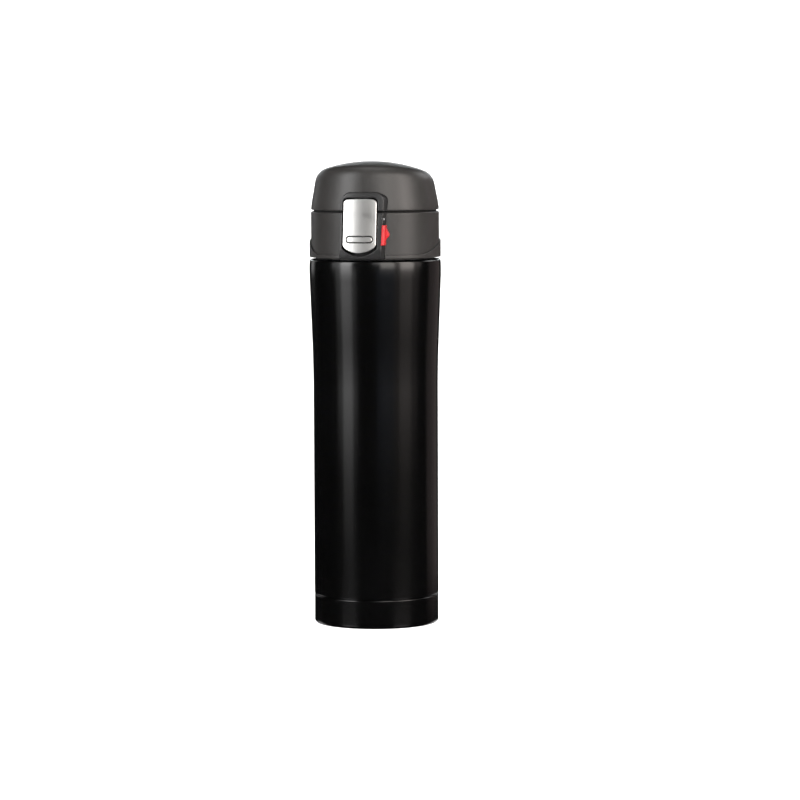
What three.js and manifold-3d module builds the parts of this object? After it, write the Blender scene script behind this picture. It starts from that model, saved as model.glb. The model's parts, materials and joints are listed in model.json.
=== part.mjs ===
// A one-touch vacuum flask: a double-walled steel bottle with a screw-on lid. The lid's domed cover
// hinges at the back and is held by a push-button latch at the front, beside a red lock slider.
// Millimetres, +Z up, the button faces -Y, and the origin is on the bottle's axis at its foot.
import * as THREE from "three";
import { mergeVertices } from "three/addons/utils/BufferGeometryUtils.js";
import Module from "manifold-3d";

const wasm = await Module();
wasm.setup();

// ---- Driving dimensions ----
const ROUND = 40; // facets round the outside
const INNER_ROUND = 32; // facets round the pieces inside
const TOTAL_HEIGHT = 243.1;
const STEEL = 0.6; // sheet thickness of both steel walls
const GAP = 0.25; // between pieces that touch
const BORE_GAP = 0.2; // round a pin

const BODY_RADIUS = 32.75;
const FLARE_START_Z = 124; // the body widens from here
const FLARE_STEADY = [33.27, 150]; // radius and height from which it widens evenly
const FLARE_END = [34.55, 184]; // radius and height at which it starts to curve in again
const SHOULDER_RADIUS = 34.42;
const SHOULDER_Z = 191.85;
const SHOULDER_ROUNDING = 1.25;
const SHOULDER_HOLE_RADIUS = 28.9;

const CUP_RADIUS = 32.65;
const CUP_TOP_Z = 15;
const CUP_FLOOR_Z = 0.8;
const FOOT_RING_RADIUS = 24.5;
const SHELL_FOOT_RADIUS = 31.5; // the part of the outer shell that the base cup covers
const SHELL_FOOT_Z = 2.3;
const SHELL_STEP_Z = 15.4;
const BASE_DISC_Z = 3;

const LINER_RADIUS = 29.6;
const LINER_FLOOR_Z = 7.4;
const NECK_RADIUS = 27.5;
const NECK_INNER_RADIUS = 26.5;
const NECK_TOP_Z = 207;

const THREAD_PITCH = 4;
const THREAD_TURNS = 1.5;
const THREAD_START_Z = 195.8;
const THREAD_ROOT_HALF = 1.05;
const THREAD_CREST_HALF = 0.4;
const MALE_CREST_RADIUS = 28.5;
const FEMALE_CREST_RADIUS = 27.9;
const SKIRT_INNER_RADIUS = 28.9;

const LID_RADIUS = 33.6;
const LID_WALL = 2.2;
const LID_BOTTOM_Z = 192.9;
const LID_TOP_Z = 216.7;
const LIP_RADIUS = 32.2; // the raised lip inside the lid's rim
const LIP_TOP_Z = 217.95;
const DECK_BOTTOM_Z = 213;
const DECK_TOP_Z = 214.6;
const DECK_HOLE_RADIUS = 19.5;
const CORE_TOP_Z = 212.7;
const CORE_WEB_Z = 209.3;
const CORE_HOLE_RADIUS = 18;
const PLUG_RADIUS = 24.8;
const PLUG_BOTTOM_Z = 197.2;
const GASKET_SEAT_RADIUS = 23.9;
const GASKET_Z = 198.2;
const GASKET_HEIGHT = 3;

const SPOUT_Y = -5;
const SPOUT_HALF_X = 15.5;
const SPOUT_HALF_Y = 12.8;
const SPOUT_WALL = 2;
const SPOUT_TAPER = 0.84;
const SPOUT_TOP_Z = 225.3;

const COVER_BOTTOM_Z = 217.7;
const COVER_RADIUS = 33.5;
const COVER_WALL = 2.1;
const CROWN_RADIUS = 78; // curvature of the cover's top
const CROWN_LEAN = 0.112; // the top falls by this much per millimetre towards the hinge
const CROWN_APEX_Z = TOTAL_HEIGHT - (CROWN_LEAN ** 2 * CROWN_RADIUS) / 2;
const LINER_CEILING_Z = 230.2;
const COVER_LINER_WALL = 1.4;
const SCREW_X = 10;
const SCREW_Y = 17;

const BAND_RADIUS = 34.45;
const BAND_FRONT_HEIGHT = 1.9;
const BAND_BACK_HEIGHT = 9.3;
const BAND_RISE_START = THREE.MathUtils.degToRad(48); // measured from the front
const BAND_RISE_END = THREE.MathUtils.degToRad(105);

const HINGE_Y = 35.63;
const HINGE_Z = 217.05;
const HINGE_PIN_RADIUS = 1.2;
const HINGE_SPRING_RADIUS = 1.85;
const KNUCKLE_RADIUS = 2.6;
const KNUCKLE_HALF = 7.3; // half the width of the cover's knuckle
const SPRING_GAP_HALF = 3.4;
const BRACKET_HALF = 13;
const BRACKET_BOTTOM_Z = 194;

const FRAME_LEFT_X = -11.2; // the latch frame is wider on the right, for the lock slider
const FRAME_RIGHT_X = 11.6;
const FRAME_TOP_Z = 227;
const FRAME_FRONT_Y = -35.95; // at LATCH_MIDDLE_Z
const FRAME_CURVATURE = 60;
const FRAME_DRAFT = 0.2; // how far the right flank widens per millimetre towards the lid
const RECESS_HALF = 9.3;
const RECESS_TOP_Z = 224.4;
const RECESS_SIDE_Z = 198.6; // where the recess's sides meet its rounded foot
const RECESS_BOTTOM_Z = 194.3;
const LATCH_MIDDLE_Z = 210;
const LATCH_LEAN = 0.119; // how far the latch leans back per millimetre of height
const FRAME_SIDE_LEAN = 0.03; // how far its flanks lean right per millimetre of height
const FRAME_FOOT_Z = 195; // where the flanks are at their given places
const LATCH_REACH_Y = -40; // in front of every piece of the latch

const PLATE_HALF = 8.85;
const PLATE_TOP_Z = 223.9;
const PLATE_SIDE_Z = 199.4;
const PLATE_BOTTOM_Z = 195.9;
const PLATE_FRONT_Y = -36.55; // at LATCH_MIDDLE_Z
const PLATE_CURVATURE = 45;
const PLATE_THICKNESS = 0.8;
const LEVER_HALF = 8.5;
const LEVER_BACK_Y = -33.9; // at LATCH_MIDDLE_Z
const PIVOT_Y = -33.45;
const PIVOT_Z = 209.5;
const PIVOT_PIN_RADIUS = 0.8;
const LATCH_SPRING_Y = [-34.7, -31.7];
const LATCH_SPRING_Z = 199.6;
const CATCH_TOP_Z = 219.4;
const CATCH_FRONT_Y = -31.4;

const SLIDER_BOTTOM_Z = 200.05;
const SLIDER_TOP_Z = 210.4;
const SLIDER_TRAVEL = 4.6;
const SLIDER_LUG_Y = [-34, -32.8]; // at LATCH_MIDDLE_Z
const SLIDER_LUG_Z = [200.7, 203.1];
const DOT_X = [12.1, 12.6];
const DOT_Z = 213.45;
const DOT_Y = -33.1;

// ---- Materials ----
const finish = (color, roughness, metalness = 0) => () =>
  new THREE.MeshStandardMaterial({ color, roughness, metalness });
const blackLacquer = finish(0x0b0b0d, 0.32, 0.3);
const bareSteel = finish(0xb9babc, 0.3, 1);
const lidPlastic = finish(0x2b2a2a, 0.5);
const framePlastic = finish(0x1b1b1c, 0.42);
const innerPlastic = finish(0x222223, 0.55);
const buttonMetal = finish(0xc9c8c4, 0.28, 1);
const redPlastic = finish(0xe3202f, 0.35);
const silicone = finish(0xd9d8d2, 0.6);
const springSteel = finish(0x9fa2a6, 0.35, 1);
const whiteMark = finish(0xe6e6e2, 0.5);
const sealGlass = finish(0x5b6b62, 0.15);
const getterAlloy = finish(0x6b6a68, 0.7, 0.8);

// ---- Making solids ----
const v2 = (x, y) => new THREE.Vector2(x, y);
const toVectors = (points) => points.map((p) => (p.isVector2 ? p : v2(...p)));

// A closed geometry as a solid, with its faces turned outwards.
function solidOf(geometry) {
  const bare = geometry.clone();
  bare.deleteAttribute("normal");
  bare.deleteAttribute("uv");
  const merged = mergeVertices(bare, 1e-4);
  const corners = merged.index.array;
  const kept = [];
  for (let i = 0; i < corners.length; i += 3) {
    const [a, b, c] = corners.slice(i, i + 3);
    if (a !== b && b !== c && c !== a) kept.push(a, b, c);
  }
  const make = (triVerts) => {
    const vertProperties = merged.attributes.position.array;
    const mesh = new wasm.Mesh({ numProp: 3, vertProperties, triVerts });
    return new wasm.Manifold(mesh);
  };
  const made = make(new Uint32Array(kept));
  return made.volume() >= 0 ? made : make(new Uint32Array(kept).reverse());
}

// An outline of [radius, z] turned about Z. It starts and ends on the axis, or is closed here.
function revolve(outline, segments = INNER_ROUND, reshape = null) {
  const points = toVectors(outline);
  if (points[0].x !== 0) points.push(points[0].clone());
  const geometry = new THREE.LatheGeometry(points, segments);
  geometry.rotateX(Math.PI / 2);
  if (reshape) reshape(geometry.getAttribute("position"));
  return solidOf(geometry);
}

// The points that a drawing function leaves on a path.
function pointsOf(divisions, draw) {
  const path = new THREE.Path();
  draw(path);
  return path.getPoints(divisions);
}

const extrude = (outline, depth) =>
  new THREE.ExtrudeGeometry(new THREE.Shape(toVectors(outline)), {
    depth,
    bevelEnabled: false,
  });

// An outline of [x, z] points, from y0 back to y1.
const prismAlongY = (outline, y0, y1) =>
  solidOf(extrude(outline, y1 - y0).rotateX(Math.PI / 2).translate(0, y1, 0));

// An outline of [y, z] points, from x0 to x1.
const prismAlongX = (outline, x0, x1) =>
  solidOf(
    extrude(outline, x1 - x0)
      .rotateX(Math.PI / 2)
      .rotateZ(Math.PI / 2)
      .translate(x0, 0, 0),
  );

// An outline of [x, y] points, from z0 up to z1.
const prismAlongZ = (outline, z0, z1) => solidOf(extrude(outline, z1 - z0).translate(0, 0, z0));

function box([x0, x1], [y0, y1], [z0, z1]) {
  const geometry = new THREE.BoxGeometry(x1 - x0, y1 - y0, z1 - z0);
  return solidOf(geometry.translate((x0 + x1) / 2, (y0 + y1) / 2, (z0 + z1) / 2));
}

const cylinder = (radius, length, segments) =>
  new THREE.CylinderGeometry(radius, radius, length, segments);

const rodAlongX = (radius, [x0, x1], [y, z], segments = 16) =>
  solidOf(
    cylinder(radius, x1 - x0, segments).rotateZ(Math.PI / 2).translate((x0 + x1) / 2, y, z),
  );

const rodAlongY = (radius, [y0, y1], [x, z], segments = 12) =>
  solidOf(cylinder(radius, y1 - y0, segments).translate(x, (y0 + y1) / 2, z));

const rodAlongZ = (radius, [z0, z1], [x, y], segments = 16) =>
  solidOf(
    cylinder(radius, z1 - z0, segments).rotateX(Math.PI / 2).translate(x, y, (z0 + z1) / 2),
  );

const HINGE_AXIS = [HINGE_Y, HINGE_Z];
const PIVOT_AXIS = [PIVOT_Y, PIVOT_Z];

class Helix extends THREE.Curve {
  constructor(radius, length, turns) {
    super();
    Object.assign(this, { radius, length, turns });
  }
  getPoint(t, target = new THREE.Vector3()) {
    const angle = t * this.turns * 2 * Math.PI;
    const across = this.radius * Math.cos(angle);
    return target.set(across, this.radius * Math.sin(angle), (t - 0.5) * this.length);
  }
}

// A wound wire centred on the origin, along Z.
function coil(radius, length, turns, wireRadius) {
  const sides = 5;
  const section = new THREE.Path().absarc(0, 0, wireRadius, 0, 2 * Math.PI).getPoints(sides);
  const steps = Math.round(turns * 10);
  const extrudePath = new Helix(radius, length, turns);
  return new THREE.ExtrudeGeometry(new THREE.Shape(section.slice(0, sides)), {
    steps,
    extrudePath,
  });
}

// A right-hand screw ridge whose crest fades at both ends into the wall it grows from.
function screwRidge(root, crest, startZ) {
  const steps = THREAD_TURNS * INNER_ROUND;
  const fadeSteps = 4;
  const startShare = 0.1;
  const positions = [];
  const index = [];
  for (let i = 0; i <= steps; i++) {
    const angle = (i / INNER_ROUND) * 2 * Math.PI;
    const z = startZ + (i / INNER_ROUND) * THREAD_PITCH;
    const fade = Math.min(1, startShare + Math.min(i, steps - i) / fadeSteps);
    const tip = THREE.MathUtils.lerp(root, crest, fade);
    const section = [
      [root, z - THREAD_ROOT_HALF],
      [tip, z - THREAD_CREST_HALF],
      [tip, z + THREAD_CREST_HALF],
      [root, z + THREAD_ROOT_HALF],
    ];
    for (const [r, height] of section)
      positions.push(r * Math.sin(angle), -r * Math.cos(angle), height);
    for (let k = 0; k < 4 && i < steps; k++) {
      const a = i * 4 + k;
      const b = i * 4 + ((k + 1) % 4);
      index.push(a, b, b + 4, a, b + 4, a + 4);
    }
  }
  const end = steps * 4;
  index.push(0, 2, 1, 0, 3, 2, end, end + 1, end + 2, end, end + 2, end + 3);
  const geometry = new THREE.BufferGeometry();
  geometry.setAttribute("position", new THREE.Float32BufferAttribute(positions, 3));
  return solidOf(geometry.setIndex(index));
}

// ---- Bottle ----
// The body's wall above its straight part, from low to high, set in by a thickness.
const flaredWall = (inset, divisions) =>
  pointsOf(divisions, (path) => {
    const straight = BODY_RADIUS - inset;
    path.moveTo(straight, FLARE_START_Z);
    path.quadraticCurveTo(straight, 136, FLARE_STEADY[0] - inset, FLARE_STEADY[1]);
    path.lineTo(FLARE_END[0] - inset, FLARE_END[1]);
    const top = [SHOULDER_RADIUS - inset, SHOULDER_Z - SHOULDER_ROUNDING];
    path.quadraticCurveTo(34.68 - inset, 187.3, ...top);
  });

function outerShell() {
  const topRounding = pointsOf(4, (path) => {
    const r = SHOULDER_ROUNDING;
    path.absarc(SHOULDER_RADIUS - r, SHOULDER_Z - r, r, 0, Math.PI / 2, false);
  });
  const outline = [
    [SHELL_FOOT_RADIUS, SHELL_FOOT_Z],
    [SHELL_FOOT_RADIUS, SHELL_STEP_Z],
    [BODY_RADIUS - 0.4, SHELL_STEP_Z],
    [BODY_RADIUS, SHELL_STEP_Z + 0.6],
    ...flaredWall(0, 4).slice(0, -1),
    ...topRounding,
    [SHOULDER_HOLE_RADIUS, SHOULDER_Z],
    [SHOULDER_HOLE_RADIUS, SHOULDER_Z - STEEL],
    [SHOULDER_RADIUS - SHOULDER_ROUNDING, SHOULDER_Z - STEEL],
    ...flaredWall(STEEL, 2).reverse(),
    [BODY_RADIUS - STEEL, SHELL_STEP_Z + 1],
    [SHELL_FOOT_RADIUS - STEEL, SHELL_STEP_Z],
    [SHELL_FOOT_RADIUS - STEEL, SHELL_FOOT_Z],
  ];
  return revolve(outline, ROUND);
}

function innerLiner() {
  const fillet = 5.6;
  const flangeRadius = SHOULDER_HOLE_RADIUS - GAP;
  const floorCorner = (inset) =>
    pointsOf(3, (path) => {
      const x = LINER_RADIUS - fillet;
      path.absarc(x, LINER_FLOOR_Z + fillet, fillet - inset, -Math.PI / 2, 0, false);
    });
  // The wall draws in from the bottle's full width to its neck.
  const drawIn = (outer, inner, inset) => [
    [outer, 176 - inset],
    [(outer + inner) / 2, 183 - inset],
    [inner, 189.4 - inset],
  ];
  const wall = revolve([
    [0, LINER_FLOOR_Z],
    ...floorCorner(0),
    ...drawIn(LINER_RADIUS, NECK_RADIUS, 0),
    [flangeRadius, SHOULDER_Z - 0.8],
    [flangeRadius, SHOULDER_Z],
    [NECK_RADIUS, SHOULDER_Z],
    [NECK_RADIUS, NECK_TOP_Z - 0.5],
    [NECK_RADIUS - 0.3, NECK_TOP_Z],
    [NECK_INNER_RADIUS + 0.3, NECK_TOP_Z],
    [NECK_INNER_RADIUS, NECK_TOP_Z - 0.5],
    ...drawIn(LINER_RADIUS - STEEL, NECK_INNER_RADIUS, 0.6).reverse(),
    ...floorCorner(STEEL).reverse(),
    [0, LINER_FLOOR_Z + STEEL],
  ]);
  return wall.add(screwRidge(NECK_RADIUS - 0.4, MALE_CREST_RADIUS, THREAD_START_Z));
}

function baseCup() {
  const edge = 1.8;
  const inner = SHELL_FOOT_RADIUS + GAP;
  const corner = pointsOf(4, (path) => {
    path.absarc(CUP_RADIUS - edge, edge, edge, -Math.PI / 2, 0, false);
  });
  const outline = [
    [0, CUP_FLOOR_Z],
    [FOOT_RING_RADIUS - 1, CUP_FLOOR_Z],
    [FOOT_RING_RADIUS, 0],
    ...corner,
    [CUP_RADIUS, CUP_TOP_Z - 0.5],
    [CUP_RADIUS - 0.5, CUP_TOP_Z],
    [inner, CUP_TOP_Z],
    [inner, edge],
    [inner - 1, CUP_FLOOR_Z],
    [FOOT_RING_RADIUS + 0.4, CUP_FLOOR_Z],
    [FOOT_RING_RADIUS - 0.6, 2 * CUP_FLOOR_Z],
    [0, 2 * CUP_FLOOR_Z],
  ];
  return revolve(outline, ROUND);
}

// The pressed disc that closes the bottom of the outer shell, with a dimple for the sealed hole.
function vacuumBaseDisc() {
  const rim = SHELL_FOOT_RADIUS - STEEL - GAP;
  const z = BASE_DISC_Z;
  return revolve([
    [0, z + 1],
    [3.5, z + 1],
    [5, z],
    [rim - 2.3, z],
    [rim, z + 2.3],
    [rim, z + 4],
    [rim - STEEL, z + 4],
    [rim - STEEL, z + 2.7],
    [rim - 2.6, z + STEEL],
    [5.4, z + STEEL],
    [3.9, z + 1 + STEEL],
    [0, z + 1 + STEEL],
  ]);
}

function glassSealBead() {
  const z = BASE_DISC_Z;
  return revolve([[0, z - 0.3], [2.2, z], [3, z + 0.7], [0, z + 0.7]], 16);
}

const getterPellet = () => rodAlongZ(5, [BASE_DISC_Z + 1.9, LINER_FLOOR_Z - 0.4], [0, 0]);

// ---- Lid base: casing, threaded core, gaskets and drinking spout ----
// The lid's outer surface filled in, grown by an offset.
const lidSurface = (offset) =>
  revolve(
    [
      [0, LID_BOTTOM_Z - 5],
      [LID_RADIUS + offset, LID_BOTTOM_Z - 5],
      [LID_RADIUS + offset, LID_TOP_Z + offset],
      [0, LID_TOP_Z + offset],
    ],
    ROUND,
  );

// The opening behind the button, through a front wall.
const leverWindow = (z0, z1) =>
  box([-RECESS_HALF, RECESS_HALF], [LATCH_REACH_Y, -29.5], [z0, z1]);

const knuckleRelief = (half) =>
  rodAlongX(KNUCKLE_RADIUS + GAP, [-half - 2 * GAP, half + 2 * GAP], HINGE_AXIS, 20);

function lidBody() {
  const inner = LID_RADIUS - LID_WALL;
  const rimInner = inner - 0.5;
  const casing = revolve(
    [
      [LID_RADIUS - 0.4, LID_BOTTOM_Z],
      [LID_RADIUS, LID_BOTTOM_Z + 0.4],
      [LID_RADIUS, LID_TOP_Z - 0.5],
      [LID_RADIUS - 0.5, LID_TOP_Z],
      [LIP_RADIUS, LID_TOP_Z],
      [LIP_RADIUS, LIP_TOP_Z],
      [rimInner, LIP_TOP_Z],
      [rimInner, DECK_TOP_Z],
      [DECK_HOLE_RADIUS, DECK_TOP_Z],
      [DECK_HOLE_RADIUS, DECK_BOTTOM_Z],
      [inner, DECK_BOTTOM_Z],
      [inner, LID_BOTTOM_Z],
    ],
    ROUND,
  );
  const flatZ = [PIVOT_Z, LID_TOP_Z + 1];
  const flatBehindLever = box([-RECESS_HALF, RECESS_HALF], [LATCH_REACH_Y, -32.6], flatZ);
  return casing
    .subtract(leverWindow(RECESS_BOTTOM_Z, DECK_BOTTOM_Z - 1))
    .subtract(flatBehindLever)
    .subtract(knuckleRelief(KNUCKLE_HALF));
}

function stopperCore() {
  const bore = 22.9;
  const skirtOuter = LID_RADIUS - LID_WALL - 0.4;
  const skirtBottomZ = SHOULDER_Z + GAP;
  const core = revolve([
    [CORE_HOLE_RADIUS, CORE_TOP_Z],
    [skirtOuter, CORE_TOP_Z],
    [skirtOuter, skirtBottomZ],
    [SKIRT_INNER_RADIUS, skirtBottomZ],
    [SKIRT_INNER_RADIUS, CORE_WEB_Z],
    [PLUG_RADIUS, CORE_WEB_Z],
    [PLUG_RADIUS, GASKET_Z + GASKET_HEIGHT],
    [GASKET_SEAT_RADIUS, GASKET_Z + GASKET_HEIGHT],
    [GASKET_SEAT_RADIUS, GASKET_Z],
    [PLUG_RADIUS, GASKET_Z],
    [PLUG_RADIUS, PLUG_BOTTOM_Z],
    [bore, PLUG_BOTTOM_Z],
    [bore, CORE_WEB_Z],
    [CORE_HOLE_RADIUS, CORE_WEB_Z],
  ]);
  const threadStartZ = THREAD_START_Z - THREAD_PITCH / 2;
  return core.add(screwRidge(SKIRT_INNER_RADIUS + 0.4, FEMALE_CREST_RADIUS, threadStartZ));
}

// The ring that seals the plug in the bottle's neck, with a lip at its top and bottom.
function stopperGasket() {
  const inner = GASKET_SEAT_RADIUS + GAP;
  const lip = NECK_INNER_RADIUS - GAP;
  const low = GASKET_Z + GAP;
  const high = GASKET_Z + GASKET_HEIGHT - GAP;
  return revolve([
    [inner, low],
    [lip, low + 0.4],
    [lip - 0.7, (low + high) / 2],
    [lip, high - 0.4],
    [inner, high],
  ]);
}

function taperedOval(halfX, halfY, z0, z1) {
  const geometry = new THREE.CylinderGeometry(SPOUT_TAPER, 1, z1 - z0, INNER_ROUND);
  geometry.rotateX(Math.PI / 2).scale(halfX, halfY, 1);
  return solidOf(geometry.translate(0, SPOUT_Y, (z0 + z1) / 2));
}

// A slot with round ends, along X.
const roundEndedSlot = (halfLength, halfWidth, y) =>
  pointsOf(5, (path) => {
    const reach = halfLength - halfWidth;
    path.absarc(reach, y, halfWidth, -Math.PI / 2, Math.PI / 2, false);
    path.absarc(-reach, y, halfWidth, Math.PI / 2, 1.5 * Math.PI, false);
  });

function spout() {
  const neckRadius = CORE_HOLE_RADIUS - GAP;
  const flangeRadius = 24;
  const flangeBottomZ = DECK_TOP_Z + GAP;
  const flangeTopZ = 216;
  const roofZ = SPOUT_TOP_Z - 1.6;
  const flange = revolve([
    [0, CORE_WEB_Z - 0.5],
    [neckRadius, CORE_WEB_Z - 0.5],
    [neckRadius, flangeBottomZ],
    [flangeRadius, flangeBottomZ],
    [flangeRadius, flangeTopZ],
    [0, flangeTopZ],
  ]);
  const hollow = taperedOval(SPOUT_HALF_X - SPOUT_WALL, SPOUT_HALF_Y - SPOUT_WALL, 207, roofZ);
  const drinkingSlot = roundEndedSlot(6.5, 3, SPOUT_Y - 4);
  const through = [roofZ - 2, SPOUT_TOP_Z + 2];
  return flange
    .add(taperedOval(SPOUT_HALF_X, SPOUT_HALF_Y, flangeTopZ - 0.5, SPOUT_TOP_Z))
    .subtract(hollow)
    .subtract(rodAlongZ(neckRadius - SPOUT_WALL, [207, flangeBottomZ], [0, 0], INNER_ROUND))
    .subtract(prismAlongZ(drinkingSlot, ...through))
    .subtract(rodAlongZ(1.1, through, [0, SPOUT_Y + 5.5], 10));
}

function spoutGasket() {
  const low = CORE_TOP_Z + GAP;
  const outer = DECK_HOLE_RADIUS - GAP;
  return revolve([
    [CORE_HOLE_RADIUS, low],
    [outer, low],
    [outer, DECK_TOP_Z],
    [CORE_HOLE_RADIUS, DECK_TOP_Z],
  ]);
}

// ---- Hinge collar: a raised band that climbs towards the back and carries the hinge ----
function climb(position) {
  for (let i = 0; i < position.count; i++) {
    const fromFront = Math.abs(Math.atan2(position.getX(i), -position.getY(i)));
    const rise = THREE.MathUtils.smoothstep(fromFront, BAND_RISE_START, BAND_RISE_END);
    const height = THREE.MathUtils.lerp(BAND_FRONT_HEIGHT, BAND_BACK_HEIGHT, rise);
    const share = (position.getZ(i) - LID_BOTTOM_Z) / BAND_BACK_HEIGHT;
    position.setZ(i, LID_BOTTOM_Z + share * height);
  }
}

function collarBand() {
  const inner = LID_RADIUS + GAP;
  const topZ = LID_BOTTOM_Z + BAND_BACK_HEIGHT;
  const outline = [
    [inner, LID_BOTTOM_Z],
    [BAND_RADIUS, LID_BOTTOM_Z],
    [BAND_RADIUS, topZ - 0.8],
    [BAND_RADIUS - 0.4, topZ],
    [inner, topZ],
  ];
  const frameSpace = [FRAME_LEFT_X - 3 * GAP, FRAME_RIGHT_X + 5 * GAP];
  return revolve(outline, ROUND, climb).subtract(
    box(frameSpace, [LATCH_REACH_Y, 0], [LID_BOTTOM_Z - 1, LID_TOP_Z]),
  );
}

function hingeBracket() {
  const outerY = HINGE_Y + KNUCKLE_RADIUS;
  const innerY = HINGE_Y - KNUCKLE_RADIUS;
  const insideY = 28;
  const knuckleTop = pointsOf(8, (path) => {
    path.absarc(...HINGE_AXIS, KNUCKLE_RADIUS, 0, Math.PI, false);
  });
  const side = [
    [insideY, BRACKET_BOTTOM_Z],
    [BAND_RADIUS - 0.2, BRACKET_BOTTOM_Z],
    [outerY, BRACKET_BOTTOM_Z + 6],
    ...knuckleTop,
    [innerY, LID_TOP_Z - 2],
    [insideY, LID_TOP_Z - 2],
  ];
  const coverSpace = [-KNUCKLE_HALF - GAP, KNUCKLE_HALF + GAP];
  const coverSpaceZ = HINGE_Z - KNUCKLE_RADIUS - 0.7;
  return prismAlongX(side, -BRACKET_HALF, BRACKET_HALF)
    .subtract(lidSurface(GAP))
    .subtract(box(coverSpace, [insideY, outerY + 3], [coverSpaceZ, LID_TOP_Z + 9]))
    .subtract(
      rodAlongX(HINGE_PIN_RADIUS + BORE_GAP, [-BRACKET_HALF - 1, BRACKET_HALF - 1], HINGE_AXIS),
    );
}

const hingeCollar = () => collarBand().add(hingeBracket());

const hingePin = () =>
  rodAlongX(HINGE_PIN_RADIUS, [-BRACKET_HALF + 0.2, BRACKET_HALF - 1.3], HINGE_AXIS);

function hingeSpring() {
  const length = 2 * SPRING_GAP_HALF - 1.2;
  const wound = coil(HINGE_SPRING_RADIUS, length, 4.5, 0.3);
  return solidOf(wound.rotateY(Math.PI / 2).translate(0, ...HINGE_AXIS));
}

// ---- Latch: frame, lever, button plate, pin, spring, lock slider and its mark ----
// The whole latch leans back: it stays in place at LATCH_MIDDLE_Z and moves to the rear above it.
const latchShear = new THREE.Matrix4()
  .makeShear(0, 0, 0, 0, 0, LATCH_LEAN)
  .setPosition(0, -LATCH_LEAN * LATCH_MIDDLE_Z, 0);
const leanBack = (solid) => solid.transform(latchShear.elements);

const sideShear = new THREE.Matrix4()
  .makeShear(0, 0, 0, 0, FRAME_SIDE_LEAN, 0)
  .setPosition(-FRAME_SIDE_LEAN * FRAME_FOOT_Z, 0, 0);
const leanSideways = (solid) => solid.transform(sideShear.elements);

// A leaning cylinder as wide as a front face is curved.
const frontCurve = (frontY, radius, inset = 0) => {
  const height = [LATCH_MIDDLE_Z - 30, LATCH_MIDDLE_Z + 30];
  return leanBack(rodAlongZ(radius - inset, height, [0, frontY + radius], 192));
};

// The frame's flanks and curved front, as one solid that its two halves are cut from.
function frameEnvelope() {
  const depth = 12;
  const rightFront = FRAME_RIGHT_X - 5 * FRAME_DRAFT;
  const plan = [
    [FRAME_LEFT_X, LATCH_REACH_Y],
    [rightFront, LATCH_REACH_Y],
    [rightFront + depth * FRAME_DRAFT, LATCH_REACH_Y + depth],
    [FRAME_LEFT_X, LATCH_REACH_Y + depth],
  ];
  const flanks = leanSideways(prismAlongZ(plan, LID_BOTTOM_Z, FRAME_TOP_Z));
  return flanks.intersect(frontCurve(FRAME_FRONT_Y, FRAME_CURVATURE));
}

// An arc that sags below two side points, from right to left.
const sagging = (half, sideZ, bottomZ, divisions) =>
  pointsOf(divisions, (path) => {
    const sag = sideZ - bottomZ;
    const radius = (half ** 2 + sag ** 2) / (2 * sag);
    const start = Math.asin(half / radius);
    path.absarc(0, bottomZ + radius, radius, start - Math.PI / 2, -start - Math.PI / 2, true);
  });

function lowerLatchFrame() {
  const wide = 20;
  const outline = [
    [-wide, LID_BOTTOM_Z],
    [wide, LID_BOTTOM_Z],
    [wide, LID_TOP_Z],
    [RECESS_HALF, LID_TOP_Z],
    ...sagging(RECESS_HALF, RECESS_SIDE_Z, RECESS_BOTTOM_Z, 10),
    [-RECESS_HALF, LID_TOP_Z],
    [-wide, LID_TOP_Z],
  ];
  const [lugBack, lugFront] = [SLIDER_LUG_Y[1] + GAP, SLIDER_LUG_Y[0] - GAP];
  const lugSpace = [SLIDER_LUG_Z[0] - GAP, SLIDER_LUG_Z[1] + SLIDER_TRAVEL + GAP];
  return prismAlongY(outline, LATCH_REACH_Y, -28)
    .intersect(frameEnvelope())
    .subtract(lidSurface(GAP))
    .subtract(rodAlongX(PIVOT_PIN_RADIUS + BORE_GAP, [-10.4, 10.9], PIVOT_AXIS))
    .subtract(leanBack(box([RECESS_HALF - 1, 14], [lugFront, lugBack], lugSpace)))
    .subtract(rodAlongX(0.95, [DOT_X[0] - 0.3, 14], [DOT_Y, DOT_Z], 12));
}

function latchLever() {
  const noseY = CATCH_FRONT_Y - 0.2;
  const noseZ = CATCH_TOP_Z + 0.3;
  const paddleTopZ = PLATE_TOP_Z - 0.9;
  const rootY = -33.4;
  const outline = [
    [LEVER_HALF, paddleTopZ],
    ...sagging(LEVER_HALF, PLATE_SIDE_Z + 0.6, PLATE_BOTTOM_Z + 0.8, 8),
    [-LEVER_HALF, paddleTopZ],
  ];
  const paddle = leanBack(prismAlongY(outline, LATCH_REACH_Y, LEVER_BACK_Y));
  const nose = prismAlongX(
    [[rootY, noseZ], [noseY, noseZ], [noseY, noseZ + 0.8], [rootY, noseZ + 2.8]],
    -4,
    4,
  );
  return paddle
    .add(rodAlongX(2, [-LEVER_HALF + 0.2, LEVER_HALF - 0.2], PIVOT_AXIS))
    .intersect(frontCurve(PLATE_FRONT_Y, PLATE_CURVATURE, PLATE_THICKNESS + GAP))
    .add(nose)
    .add(rodAlongY(1.1, [-36, LATCH_SPRING_Y[0] + 1.3], [0, LATCH_SPRING_Z]))
    .subtract(rodAlongX(PIVOT_PIN_RADIUS + BORE_GAP, [-RECESS_HALF, RECESS_HALF], PIVOT_AXIS));
}

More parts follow.
